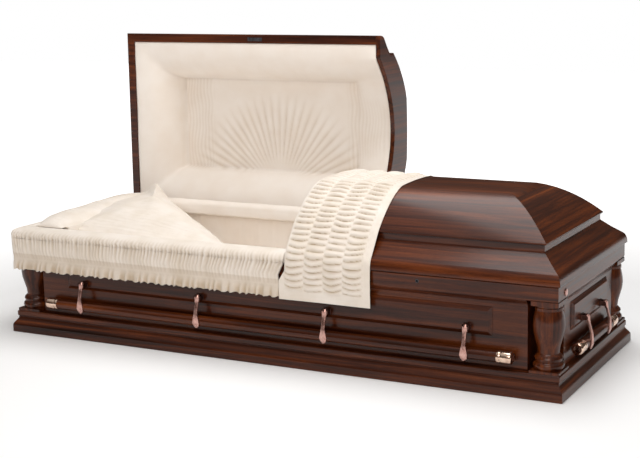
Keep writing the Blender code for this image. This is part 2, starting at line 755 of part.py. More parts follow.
def pillow(material):
    # Wedge-shaped pillow: high at the back, its long side along the front, its head edge on the roll.
    # Each corner is (share of length, share of width, share of thickness); spread counts at the head.
    floor = BED_TOP + FIT_GAP * 2
    head_x = -WALL_X + BOARD + LINING + PILLOW_SPREAD + 0.008
    back_y = HINGE_Y - HINGE_BARREL * 1.6 - BACK_ROLL_WIDTH - PILLOW_BACK_GAP
    front_y = -(WALL_Y - BOARD - LINING - PILLOW_FRONT_GAP)
    corners = [(0.14, 0.0, 0.76), (0.50, 0.0, 0.66), (1.0, 0.02, 0.32),
               (0.82, 0.32, 0.60), (0.56, 0.62, 0.86), (0.20, 1.0, 1.18),
               (0.12, 1.0, 0.97), (0.0, 0.78, 0.94), (0.0, 0.25, 0.80)]
    middle = (0.38, 0.44, 1.08)

    def place(corner, share, level, spread):
        along = middle[0] + (corner[0] - middle[0]) * share
        across = middle[1] + (corner[1] - middle[1]) * share
        shift = spread * (1 - min(1.0, corner[0] / 0.3))
        return (head_x + along * PILLOW_LENGTH - shift, back_y + (front_y - back_y) * (1 - across), level)

    rail_top = BOX_HEIGHT - LINING_DROP
    rings = [[], [], [], [], []]
    for corner in corners:
        top = floor + corner[2] * PILLOW_THICK
        peak = floor + middle[2] * PILLOW_THICK
        over_roll = BOX_HEIGHT + SKIRT_ROLL_RISE * 0.85
        edge = max(top - 0.02, over_roll) if corner[0] < 0.3 else top - 0.02
        rings[0].append(place(corner, 1.0, floor, 0.0))
        rings[1].append(place(corner, 1.0, min(rail_top, edge - 0.01), 0.0))
        rings[2].append(place(corner, 1.0, edge, PILLOW_SPREAD))
        rings[3].append(place(corner, 0.85, max(top, edge + 0.008), PILLOW_SPREAD * 0.8))
        rings[4].append(place(corner, 0.35, (max(top, edge) + 2 * peak) / 3, 0.0))
    return make_object("pillow", loft(rings), material, smooth=60)


def roll_arc(inner, outer, low, top, steps):
    # Half-round padded roll between two offsets, as (offset, height) pairs from inside to outside.
    middle = (inner + outer) / 2
    half = (outer - inner) / 2
    return [(middle - half * cos(pi * i / steps), low + (top - low) * sin(pi * i / steps) ** 0.8)
            for i in range(steps + 1)]


def skirt(material):
    # Hanging cloth with a padded roll over the rail, along the front and round the head end.
    # Offsets run outward from the rail's outer face.
    rest = BOX_HEIGHT + FIT_GAP * 2
    inside = SKIRT_STANDOFF
    hem = PIVOT_HEIGHT + SKIRT_OVER_PIVOT
    section = roll_arc(-SKIRT_ROLL_DEPTH, SKIRT_HANG, rest, BOX_HEIGHT + SKIRT_ROLL_RISE, 8)
    section += [(SKIRT_HANG, hem), (inside, hem), (inside, rest)]
    roll_end = HEAD_LID_END
    hang_end = FOOT_LID_START - THROW_FLARE
    loops = []
    for offset, level in section:
        end_x = roll_end if level >= rest else hang_end
        out_x, out_y = RAIL_X + offset, RAIL_Y + offset
        loops.append([(end_x, -out_y, level), (-out_x, -out_y, level),
                      (-out_x, RAIL_Y - SKIRT_BACK_GAP, level)])
    stations = [[loop[k] for loop in loops] for k in range(3)]
    return make_object("skirt", loft(stations), material, smooth=60)


def back_roll(material):
    # Padded cloth roll that rises over the rail in front of the open lid.
    outer = HINGE_Y - HINGE_BARREL * 1.6
    inner = outer - BACK_ROLL_WIDTH
    low = BOX_HEIGHT + FIT_GAP * 2
    outline = roll_arc(inner, outer, low, BOX_HEIGHT + BACK_ROLL_RISE, 8)
    return make_object("back_roll", prism(outline, -RAIL_X + SKIRT_ROLL_DEPTH + 0.01, HEAD_LID_END, axis="X"),
                       material, smooth=60)


def offset_path(points, distance):
    # Moves an open (y, z) path to its left by a distance, along the mean normal at each point.
    moved = []
    for i, (y, z) in enumerate(points):
        before = points[max(0, i - 1)]
        after = points[min(len(points) - 1, i + 1)]
        dy, dz = after[0] - before[0], after[1] - before[1]
        size = sqrt(dy * dy + dz * dz)
        moved.append((y - dz / size * distance, z + dy / size * distance))
    return moved


def throw_path():
    # Line that the throw lies on: rim face, a straight bridge to the crown, and the whole crown.
    rim = rim_profile()
    shoulder = rim[2:7]
    crown = lid_profile()[len(rim) + 3:]
    front = [(-(RIM_Y - inset), level) for inset, level in [(0.0, RIM_BOTTOM)] + shoulder + crown]
    back = [(RIM_Y - inset, level) for inset, level in reversed(crown)]
    return front + back


def throw(material, parent):
    # Gathered cloth across the foot lid's head edge, hanging below the rim at the front.
    lies_on = throw_path()
    inner = offset_path(lies_on, THROW_LIFT)
    outer = offset_path(lies_on, THROW_LIFT + THROW_CLOTH)
    hem = PIVOT_HEIGHT + THROW_OVER_PIVOT
    sway = THROW_CLOTH * 0.7
    inner.insert(0, (inner[0][0] - sway, hem))
    outer.insert(0, (outer[0][0] - sway, hem))
    ring = inner + list(reversed(outer))

    def left_edge(z):
        below = min(1.0, max(0.0, (RIM_BOTTOM - z) / (RIM_BOTTOM - hem)))
        return FOOT_LID_START + FIT_GAP - THROW_FLARE * min(1.0, below * 3)

    left = [(left_edge(z), y, z) for y, z in ring]
    right = [(FOOT_LID_START + THROW_WIDTH, y, z) for y, z in ring]
    return make_object("throw", to_hinge(loft([left, right])), material, parent, smooth=50)


def build():
    clear_scene()
    wood = make_material("dark_walnut", (0.075, 0.022, 0.010), 0.22)
    bronze = make_material("rose_bronze", (0.52, 0.33, 0.27), 0.32, 1.0)
    steel = make_material("dark_steel", (0.10, 0.10, 0.11), 0.40, 1.0)
    cloth = make_material("cream_cloth", (0.82, 0.73, 0.61), 0.75)

    bottom = wall_outline(0.0)
    make_object("bottom_board", prism(bottom, 0.0, BOTTOM_BOARD), wood)
    base_moulding(wood)
    side_wall("front_side", wood, -1)
    side_wall("back_side", wood, 1)
    end_wall("head_end", wood, -1)
    end_wall("foot_end", wood, 1)
    top_rail(wood)
    side_length = 2 * (WALL_X - PANEL_END_MARGIN)
    end_length = 2 * (WALL_Y - END_PANEL_MARGIN)
    panels = (("front_panel", side_length, (0.0, -WALL_Y, 0.0), 0.0),
              ("back_panel", side_length, (0.0, WALL_Y, 0.0), pi),
              ("foot_panel", end_length, (WALL_X, 0.0, 0.0), pi / 2),
              ("head_panel", end_length, (-WALL_X, 0.0, 0.0), -pi / 2))
    for name, length, place, turn in panels:
        raised_panel(name, wood, length, place, turn)
    column = corner_column(wood)
    x, y = HALF_L - COLUMN_INSET, HALF_W - COLUMN_INSET
    corners = (("front_head", -1, -1), ("front_foot", 1, -1), ("back_head", -1, 1), ("back_foot", 1, 1))
    for name, sx, sy in corners:
        link_copy(name + "_column", column, None, (sx * x, sy * y, 0.0))

    head_lid = empty("head_lid_hinge_line", (0.0, HINGE_Y, HINGE_Z), (radians(-OPEN_ANGLE), 0.0, 0.0))
    foot_lid = empty("foot_lid_hinge_line", (0.0, HINGE_Y, HINGE_Z))
    board_gap = HEADER + FIT_GAP
    lid_shell("head_lid_shell", wood, head_lid, -RIM_X, HEAD_LID_END - board_gap, True, False)
    lid_shell("foot_lid_shell", wood, foot_lid, FOOT_LID_START + board_gap, RIM_X, False, True)
    outline = header_outline()
    for name, parent, start in (("head_lid_header", head_lid, HEAD_LID_END - HEADER),
                                ("foot_lid_header", foot_lid, FOOT_LID_START)):
        make_object(name, to_hinge(prism(outline, start, start + HEADER, axis="X")), wood, parent)
    head_span, foot_span = hinge_spans()
    hinge_leaf("head_lid_hinge", bronze, head_lid, *head_span)
    hinge_leaf("foot_lid_hinge", bronze, foot_lid, *foot_span)
    lid_lining("head_lid_lining", cloth, head_lid, -RIM_X, HEAD_LID_END, False)
    lid_lining("foot_lid_lining", cloth, foot_lid, FOOT_LID_START, RIM_X, True)
    latch_plate(steel, head_lid)
    throw(cloth, foot_lid)

    lock_socket(steel)
    tube_cap(bronze)

    arm = handle_arm(bronze)
    lug = handle_lug(bronze)
    side_out = WALL_Y + PIVOT_OUT
    end_out = WALL_X + PIVOT_OUT
    side_bar = (2 * (HALF_L - SIDE_BAR_MARGIN), SIDE_ARMS, SIDE_ARM_MARGIN)
    end_bar = (2 * (HALF_W - END_BAR_MARGIN), END_ARMS, END_ARM_MARGIN)
    handles = (("front_handle", (0.0, -side_out, PIVOT_HEIGHT), 0.0, side_bar),
               ("back_handle", (0.0, side_out, PIVOT_HEIGHT), pi, side_bar),
               ("foot_handle", (end_out, 0.0, PIVOT_HEIGHT), pi / 2, end_bar),
               ("head_handle", (-end_out, 0.0, PIVOT_HEIGHT), -pi / 2, end_bar))
    for name, place, turn, bar in handles:
        handle(name, wood, arm, lug, place, turn, *bar)

    outer = wall_outline(BOARD + FIT_GAP * 2)
    inner = wall_outline(BOARD + FIT_GAP * 2 + LINING)
    lining = ring_prism(outer, inner, BOTTOM_BOARD + FIT_GAP, BOX_HEIGHT - LINING_DROP)
    make_object("body_lining", lining, cloth)
    bed = wall_outline(BOARD + FIT_GAP * 4 + LINING)
    make_object("mattress", prism(bed, BOTTOM_BOARD + FIT_GAP, BED_TOP), cloth)
    pillow(cloth)
    skirt(cloth)
    back_roll(cloth)


build()
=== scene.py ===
# %% [markdown]
# # A half-couch casket, head lid open
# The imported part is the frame. The hardwood pieces are copied from it, given soft edges and
# smooth curves, and finished in lacquered walnut. The cloth is made here: pleated lid linings,
# a gathered skirt over the rail, a smocked throw, a pillow and the lining of the box.

# %% Set up
import json
import random
from math import atan2, cos, hypot, pi, radians, sin, sqrt

import bmesh
import bpy
import numpy as np
from mathutils import Matrix, Vector, noise


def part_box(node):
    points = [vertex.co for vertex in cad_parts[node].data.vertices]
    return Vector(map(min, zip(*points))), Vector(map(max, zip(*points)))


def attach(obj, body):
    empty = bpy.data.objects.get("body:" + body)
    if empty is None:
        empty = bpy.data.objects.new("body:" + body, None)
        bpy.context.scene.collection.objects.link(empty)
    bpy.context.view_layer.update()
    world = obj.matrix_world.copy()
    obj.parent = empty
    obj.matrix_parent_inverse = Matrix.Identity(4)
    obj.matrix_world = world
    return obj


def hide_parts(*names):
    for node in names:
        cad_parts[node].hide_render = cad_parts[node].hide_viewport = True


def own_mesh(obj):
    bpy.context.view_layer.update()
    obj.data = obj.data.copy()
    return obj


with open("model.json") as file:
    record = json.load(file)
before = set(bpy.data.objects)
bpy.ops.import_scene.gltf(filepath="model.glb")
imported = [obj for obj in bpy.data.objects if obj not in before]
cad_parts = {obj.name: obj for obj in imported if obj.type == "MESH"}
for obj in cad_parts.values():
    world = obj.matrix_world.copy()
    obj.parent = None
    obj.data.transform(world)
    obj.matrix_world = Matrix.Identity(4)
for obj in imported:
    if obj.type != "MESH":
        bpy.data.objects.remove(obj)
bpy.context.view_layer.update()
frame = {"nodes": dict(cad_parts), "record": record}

MM = 0.001
random.seed(7)
print("frame loaded with", len(frame["nodes"]), "nodes")

# %% [markdown]
# The camera comes first. It was solved from the corners of the base, the columns and the lids.

# %% Camera
PHOTO_WIDTH = 640
PHOTO_HEIGHT = 458
VIEW_CENTRE = (384, 215)
CAMERA_PLACE = (2.280, -4.085, 1.303)
CAMERA_YAW = radians(25.987)
CAMERA_DOWN = radians(10.442)
CAMERA_ROLL = radians(-0.825)
LENS_MM = 74.78
SENSOR_MM = 36.0


def make_camera():
    ahead = Vector((-sin(CAMERA_YAW) * cos(CAMERA_DOWN), cos(CAMERA_YAW) * cos(CAMERA_DOWN), -sin(CAMERA_DOWN)))
    level = Vector((cos(CAMERA_YAW), sin(CAMERA_YAW), 0.0))
    upright = level.cross(ahead)
    right = cos(CAMERA_ROLL) * level + sin(CAMERA_ROLL) * upright
    up = cos(CAMERA_ROLL) * upright - sin(CAMERA_ROLL) * level
    data = bpy.data.cameras.new("camera")
    data.lens = LENS_MM
    data.sensor_width = SENSOR_MM
    data.shift_x = (PHOTO_WIDTH / 2 - VIEW_CENTRE[0]) / PHOTO_WIDTH
    data.shift_y = (VIEW_CENTRE[1] - PHOTO_HEIGHT / 2) / PHOTO_WIDTH
    camera = bpy.data.objects.new("camera", data)
    turn = Matrix((right, up, -ahead)).transposed().to_4x4()
    camera.matrix_world = Matrix.Translation(CAMERA_PLACE) @ turn
    bpy.context.scene.collection.objects.link(camera)
    bpy.context.scene.camera = camera


make_camera()
print("camera lens", LENS_MM, "mm")

# %% [markdown]
# Colours are written as sRGB hex and turned to linear by one function. `add` puts one shader
# node in a tree with its settings and its links.

# %% Material tools


def linear(hex_colour, alpha=1.0):
    channels = [int(hex_colour[i:i + 2], 16) / 255 for i in (1, 3, 5)]
    return [c / 12.92 if c <= 0.04045 else ((c + 0.055) / 1.055) ** 2.4 for c in channels] + [alpha]


def add(tree, kind, settings=None, **links):
    node = tree.nodes.new(kind)
    for key, value in (settings or {}).items():
        setattr(node, key, value)
    for key, value in links.items():
        found = [s for s in node.inputs if s.name.replace(" ", "_") == key and s.enabled]
        target = found[0] if found else node.inputs[int(key.lstrip("i"))]
        if isinstance(value, bpy.types.NodeSocket):
            tree.links.new(value, target)
        else:
            target.default_value = value
    return node


def ramp(tree, factor, stops):
    node = add(tree, "ShaderNodeValToRGB", Fac=factor)
    elements = node.color_ramp.elements
    while len(elements) < len(stops):
        elements.new(0.5)
    for element, (place, colour) in zip(elements, stops):
        element.position = place
        element.color = linear(colour)
    return node.outputs["Color"]


def grey_ramp(tree, factor, low, high, bottom=0.0, top=1.0):
    node = add(tree, "ShaderNodeMapRange", Value=factor, From_Min=low, From_Max=high, To_Min=bottom, To_Max=top)
    return node.outputs["Result"]


def stretched(tree, sizes_mm):
    # Object coordinates divided by a real size in millimetres along each axis.
    coords = add(tree, "ShaderNodeTexCoord").outputs["Object"]
    scale = [1.0 / (size * MM) for size in sizes_mm]
    return add(tree, "ShaderNodeMapping", Vector=coords, Scale=scale).outputs["Vector"]


def cells(tree, sizes_mm, detail=2.0, rough=0.5, distortion=0.0):
    vector = stretched(tree, sizes_mm)
    node = add(tree, "ShaderNodeTexNoise", Vector=vector, Scale=1.0, Detail=detail, Roughness=rough,
               Distortion=distortion)
    return node.outputs["Fac"]


def new_material(name):
    material = bpy.data.materials.new(name)
    material.use_nodes = True
    tree = material.node_tree
    return material, tree, tree.nodes["Principled BSDF"]


# %% [markdown]
# Lacquered walnut: long dark streaks and short pores along the grain, under a clear glossy
# coat whose faint waviness breaks up the reflections.

# %% Wood


def along(axis, length_mm, across_mm):
    return [length_mm if i == axis else across_mm for i in range(3)]


def lacquered_walnut(name, axis):
    material, tree, shader = new_material(name)
    streak = cells(tree, along(axis, 520, 17), detail=6.0, rough=0.62, distortion=0.5)
    band = cells(tree, along(axis, 900, 85), detail=3.0, rough=0.5, distortion=0.3)
    pores = cells(tree, along(axis, 16, 0.9), detail=2.0, rough=0.6)
    wood = ramp(tree, streak, [(0.26, "#200c04"), (0.46, "#481e09"), (0.62, "#69310f"), (0.80, "#904b1b")])
    shade = ramp(tree, band, [(0.30, "#8f8580"), (0.70, "#ffffff")])
    toned = add(tree, "ShaderNodeMix", {"data_type": "RGBA", "blend_type": "MULTIPLY"},
                i0=0.75, i6=wood, i7=shade).outputs[2]
    pore_dark = ramp(tree, pores, [(0.30, "#6a5a54"), (0.46, "#ffffff")])
    colour = add(tree, "ShaderNodeMix", {"data_type": "RGBA", "blend_type": "MULTIPLY"},
                 i0=0.55, i6=toned, i7=pore_dark).outputs[2]
    tree.links.new(colour, shader.inputs["Base Color"])
    tree.links.new(grey_ramp(tree, streak, 0.3, 0.7, 0.30, 0.42), shader.inputs["Roughness"])
    shader.inputs["Specular IOR Level"].default_value = 0.12
    shader.inputs["Coat Weight"].default_value = 0.38
    tree.links.new(grey_ramp(tree, band, 0.3, 0.7, 0.13, 0.19), shader.inputs["Coat Roughness"])
    peel = cells(tree, (9, 9, 9), detail=1.0)
    coat = add(tree, "ShaderNodeBump", Height=peel, Strength=0.06, Distance=0.6 * MM)
    tree.links.new(coat.outputs["Normal"], shader.inputs["Coat Normal"])
    fibre = add(tree, "ShaderNodeBump", Height=pores, Strength=0.12, Distance=0.2 * MM)
    tree.links.new(fibre.outputs["Normal"], shader.inputs["Normal"])
    return material


WOOD_X = lacquered_walnut("lacquered_walnut_lengthwise", 0)
WOOD_Y = lacquered_walnut("lacquered_walnut_crosswise", 1)
WOOD_Z = lacquered_walnut("lacquered_walnut_upright", 2)

# %% [markdown]
# Metals: satin rose bronze on the handle arms, a brighter polish on the bar caps, and dark
# steel on the latch and key socket. The lugs behind the arms take a darker bronze that paints the shade they sit in.

# %% Metals


def plated_metal(name, colour, dark, rough_low, rough_high):
    material, tree, shader = new_material(name)
    mottle = cells(tree, (14, 14, 14), detail=4.0, rough=0.6)
    brush = cells(tree, (2.5, 2.5, 40), detail=2.0)
    tone = ramp(tree, mottle, [(0.32, dark), (0.62, colour)])
    tree.links.new(tone, shader.inputs["Base Color"])
    shader.inputs["Metallic"].default_value = 1.0
    tree.links.new(grey_ramp(tree, mottle, 0.3, 0.7, rough_low, rough_high), shader.inputs["Roughness"])
    bump = add(tree, "ShaderNodeBump", Height=brush, Strength=0.05, Distance=0.3 * MM)
    tree.links.new(bump.outputs["Normal"], shader.inputs["Normal"])
    return material


BRONZE = plated_metal("satin_rose_bronze", "#d3aa9f", "#ad8076", 0.24, 0.36)
BRIGHT = plated_metal("polished_rose_bronze", "#e8cdb9", "#cfae9a", 0.10, 0.20)
# Painted shade: the lugs sit in the arms' shadow, so their bronze is painted darker.
SHADOWED = plated_metal("oxidised_rose_bronze", "#6b4a42", "#4a312c", 0.34, 0.5)
STEEL = plated_metal("darkened_steel", "#5a5a5e", "#3a3a3d", 0.30, 0.45)

# %% [markdown]
# Cloth: a crepe with a fine pebbled crinkle, and a smoother satin for the lid rolls. Both have
# a soft sheen.

# %% Cloth


def cream_cloth(name, light, shade, crinkle_mm, crinkle_depth_mm, sheen):
    material, tree, shader = new_material(name)
    broad = cells(tree, (90, 90, 90), detail=3.0)
    tone = ramp(tree, broad, [(0.30, shade), (0.65, light)])
    # Painted shade: the piece's fold attribute darkens the cloth in its creases and hollows.
    crease = add(tree, "ShaderNodeAttribute", {"attribute_name": "fold"}).outputs["Fac"]
    deep = ramp(tree, crease, [(0.0, "#ffffff"), (1.0, PAINTED_CREASE_SHADE)])
    toned = add(tree, "ShaderNodeMix", {"data_type": "RGBA", "blend_type": "MULTIPLY"}, i0=1.0, i6=tone, i7=deep)
    tree.links.new(toned.outputs[2], shader.inputs["Base Color"])
    shader.inputs["Roughness"].default_value = 0.72
    shader.inputs["Sheen Weight"].default_value = sheen
    shader.inputs["Sheen Roughness"].default_value = 0.45
    crinkle = cells(tree, (crinkle_mm, crinkle_mm, crinkle_mm * 2.2), detail=4.0, rough=0.65, distortion=0.4)
    weave = cells(tree, (0.9, 0.9, 0.9), detail=1.0)
    low = add(tree, "ShaderNodeBump", Height=weave, Strength=0.25, Distance=0.15 * MM)
    bump = add(tree, "ShaderNodeBump", Height=crinkle, Strength=0.8, Distance=crinkle_depth_mm * MM,
               Normal=low.outputs["Normal"])
    tree.links.new(bump.outputs["Normal"], shader.inputs["Normal"])
    return material


# Painted shade: the colour that the deepest creases of the cloth are painted.
PAINTED_CREASE_SHADE = "#cdbda6"
CREPE = cream_cloth("cream_crepe", "#e9e0d6", "#dfd4c6", 7.0, 1.0, 0.12)
SATIN = cream_cloth("cream_satin", "#f3ebe2", "#efe5da", 16.0, 0.5, 0.12)

# %% [markdown]
# Hardwood and metal pieces. Each is a copy of its solid with the loose triangles merged, thin
# bevels on its hard edges and smooth shading on its curves. Wood faces that look along the
# box's length take the crosswise grain, so that the moulding's mitres show.

# %% Dress the hard pieces


def link(name, mesh):
    made = bpy.data.objects.new(name, mesh)
    bpy.context.scene.collection.objects.link(made)
    return made


def settle(obj):
    # Applies every modifier and leaves a plain mesh.
    graph = bpy.context.evaluated_depsgraph_get()
    mesh = bpy.data.meshes.new_from_object(obj.evaluated_get(graph))
    obj.modifiers.clear()
    obj.data = mesh
    return obj


RINGS = ("top_rail", "base_moulding")


def merged_copy(name, node):
    # A ring's flat faces go round a hole, so its triangles are joined in pairs only.
    bm = bmesh.new()
    bm.from_mesh(frame["nodes"][node].data)
    bmesh.ops.remove_doubles(bm, verts=bm.verts, dist=2e-5)
    if node in RINGS:
        bmesh.ops.join_triangles(bm, faces=bm.faces, angle_face_threshold=radians(0.6), angle_shape_threshold=pi)
    else:
        bmesh.ops.dissolve_limit(bm, angle_limit=radians(0.6), verts=bm.verts, edges=bm.edges)
    mesh = bpy.data.meshes.new(name)
    bm.to_mesh(mesh)
    bm.free()
    return mesh


def dress(node, body, materials, bevel_mm=1.2, sharp=32):
    mesh = merged_copy(node + "_finished", node)
    mesh.shade_smooth()
    piece = link(node + "_finished", mesh)
    bevel = piece.modifiers.new("soft_edges", "BEVEL")
    bevel.width = bevel_mm * MM
    bevel.segments = 2
    bevel.limit_method = "ANGLE"
    bevel.angle_limit = radians(sharp)
    bevel.miter_outer = "MITER_ARC"
    weighted = piece.modifiers.new("flat_faces", "WEIGHTED_NORMAL")
    weighted.keep_sharp = True
    settle(piece)
    for material in materials:
        piece.data.materials.append(material)
    if len(materials) > 1:
        for face in piece.data.polygons:
            face.material_index = 1 if abs(face.normal.x) > 1.02 * hypot(face.normal.y, 0.35 * face.normal.z) else 0
    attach(piece, body)
    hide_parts(node)
    return piece


def rings_of(node, centre):
    # (radius, height) of every ring of vertices round an upright line through centre.
    rings = {}
    for v in frame["nodes"][node].data.vertices:
        level = round(v.co.z, 5)
        rings[level] = max(rings.get(level, 0.0), hypot(v.co.x - centre[0], v.co.y - centre[1]))
    return [(radius, level) for level, radius in sorted(rings.items())]


def square_plate(bm, centre, half, low, high):
    made = bmesh.ops.create_cube(bm, size=1.0)["verts"]
    bmesh.ops.scale(bm, vec=(2 * half, 2 * half, high - low), verts=made)
    bmesh.ops.translate(bm, vec=(centre[0], centre[1], (low + high) / 2), verts=made)
    edges = list({e for v in made for e in v.link_edges})
    bmesh.ops.bevel(bm, geom=edges, offset=1.2 * MM, segments=2, affect="EDGES")


def round_column(node, sides=56):
    low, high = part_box(node)
    centre = [(low[0] + high[0]) / 2, (low[1] + high[1]) / 2]
    rings = rings_of(node, centre)
    plate = [level for radius, level in rings if radius > (high[0] - low[0]) / 2 * 1.3]
    top_half = rings[-1][0] / sqrt(2)
    body = [(r, z) for r, z in rings if plate[-1] < z < rings[-2][1]]
    body = [(body[0][0], plate[-1] - 2 * MM)] + body + [(body[-1][0], rings[-2][1] + 2 * MM)]
    bm = bmesh.new()
    loops = []
    for radius, level in body:
        loops.append([bm.verts.new((centre[0] + radius * cos(2 * pi * i / sides),
                                    centre[1] + radius * sin(2 * pi * i / sides), level)) for i in range(sides)])
    for lower, upper in zip(loops, loops[1:]):
        for i in range(sides):
            j = (i + 1) % sides
            bm.faces.new((lower[i], lower[j], upper[j], upper[i]))
    bm.faces.new(list(reversed(loops[0])))
    bm.faces.new(loops[-1])
    square_plate(bm, centre, (high[0] - low[0]) / 2, low[2], plate[-1])
    square_plate(bm, centre, top_half, rings[-2][1], high[2])
    mesh = bpy.data.meshes.new(node + "_finished")
    bm.to_mesh(mesh)
    bm.free()
    mesh.shade_smooth()
    mesh.set_sharp_from_angle(angle=radians(42))
    piece = link(node + "_finished", mesh)
    piece.data.materials.append(WOOD_Z)
    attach(piece, bodies[node])
    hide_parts(node)


BOTH_WAYS = [WOOD_X, WOOD_Y]
WOOD_PIECES = {
    "bottom_board": [WOOD_X], "base_moulding": BOTH_WAYS, "top_rail": BOTH_WAYS,
    "front_side": [WOOD_X], "back_side": [WOOD_X], "head_end": [WOOD_Y], "foot_end": [WOOD_Y],
    "front_panel": [WOOD_X], "back_panel": [WOOD_X], "head_panel": [WOOD_Y], "foot_panel": [WOOD_Y],
    "head_lid_shell": BOTH_WAYS, "foot_lid_shell": BOTH_WAYS,
    "head_lid_header": [WOOD_Y], "foot_lid_header": [WOOD_Y],
}
bodies = {name: body for body, names in frame["record"]["behaviour"]["bodies"].items() for name in names}
CLOSE_FITTED = ("front_side", "back_side", "head_end", "foot_end", "bottom_board")
for node, materials in WOOD_PIECES.items():
    dress(node, bodies[node], materials, bevel_mm=0.15 if node in CLOSE_FITTED else 1.2)
for node in bodies:
    if node.endswith("_column"):
        round_column(node)
    if node.endswith("_bar"):
        dress(node, bodies[node], [WOOD_X if node[0] in "fb" else WOOD_Y], bevel_mm=0.3, sharp=60)
    if "_arm_" in node:
        dress(node, bodies[node], [BRONZE], bevel_mm=0.4, sharp=60)
    # The lugs take the bronze that is painted dark as shade.
    if "_lug_" in node:
        dress(node, bodies[node], [SHADOWED], bevel_mm=0.5, sharp=50)
for node in ("head_lid_hinge", "foot_lid_hinge", "record_tube_cap"):
    dress(node, bodies[node], [BRONZE], bevel_mm=0.2, sharp=50)
for node in ("latch_plate", "lock_socket"):
    dress(node, bodies[node], [STEEL], bevel_mm=0.2, sharp=50)

# %% [markdown]
# Cloth pieces start as grids of points. `surface` closes two matching grids, the face that
# shows and the back, into one piece. `wander` is smooth noise, used to vary folds.

# %% Cloth tools


def surface(name, face, back, fold=None):
    # `fold` says how deep each point lies in a crease, from 0 to 1; the cloth is painted darker there, as shade.
    rows, columns = face.shape[:2]
    count = rows * columns
    index = np.arange(count).reshape(rows, columns)
    quads = np.stack([index[:-1, :-1], index[1:, :-1], index[1:, 1:], index[:-1, 1:]], axis=-1).reshape(-1, 4)
    loop = np.concatenate([index[:-1, 0], index[-1, :-1], index[:0:-1, -1], index[0, :0:-1]])
    after = np.roll(loop, -1)
    rim = np.stack([after, loop, loop + count, after + count], axis=-1)
    faces = np.concatenate([quads, quads[:, ::-1] + count, rim])
    points = np.concatenate([face.reshape(-1, 3), back.reshape(-1, 3)])
    a, b, c, d = (points[faces[:, k]] for k in range(4))
    volume = np.einsum("ij,ij->i", a, np.cross(b, c) + np.cross(c, d)).sum()
    if volume < 0:
        faces = faces[:, ::-1]
    mesh = bpy.data.meshes.new(name)
    mesh.from_pydata(points.tolist(), [], faces.tolist())
    mesh.shade_smooth()
    if fold is not None:
        values = np.concatenate([np.clip(fold, 0, 1).ravel(), np.zeros(count)]).astype(np.float32)
        mesh.attributes.new("fold", "FLOAT", "POINT").data.foreach_set("value", values)
    return link(name, mesh)


def wander(positions, size, seed):
    # Smooth noise from -1 to 1 along one or two coordinates, features about `size` long.
    flat = np.atleast_2d(positions)
    values = [noise.noise((p[0] / size, (p[1] if len(p) > 1 else 0.0) / size, seed)) for p in flat.tolist()]
    return np.array(values) * 1.6


def finish_cloth(piece, material, body, *nodes):
    piece.data.materials.clear()
    piece.data.materials.append(material)
    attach(piece, body)
    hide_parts(*nodes)
    return piece


# %% [markdown]
# The lid linings: four padded rolls that mitre round a sunk panel. The head lid's panel is
# pleated in a sunburst that fans out from its lower edge, with small shirring at both sides.
# Shade is painted into the pleats' grooves and the shirring's hollows.

# %% Lid linings
LINING_LIFT = 2 * MM
LINING_THICK = 6.5 * MM
ROLL_WIDTH = 150 * MM
PANEL_DEPTH = 140 * MM
ARCH_RISE = 122 * MM
ARCH_HALF_SPAN = 286 * MM
HINGE_Y = 0.354
HINGE_Z = 0.342
RIM_BOTTOM = 0.357
OPEN_ANGLE = radians(91)
LINING_CELL = 4.7 * MM


def puff(distance):
    t = np.clip(distance / ROLL_WIDTH, 0.0, 1.0)
    return 1 - np.sqrt(1 - t * t)


def arch_height(across):
    t = np.abs(across) / ARCH_HALF_SPAN
    shoulder = 0.5 - 0.5 * np.cos(pi * np.clip((1 - t) / 0.12, 0.0, 1.0))
    return np.where(t < 1, ARCH_RISE * (1 - t * t) * shoulder, 0.0)


def sunburst(x, y, centre, hub, reach, rays):
    # Depth of the pleats: ridges that fan out from a centre, deepest between hub and reach.
    # Also how far each point lies in a groove, for the shade painted there.
    dx, dy = x - centre[0], centre[1] - y
    radius = np.hypot(dx, dy)
    angle = np.arctan2(dx, dy)
    strength = np.clip((radius - hub) / 0.05, 0, 1) * np.clip((reach - radius) / 0.10, 0, 1)
    fold = np.abs(np.sin(angle * rays / 2))
    return strength * fold ** 0.9, strength * (1 - fold ** 0.7)


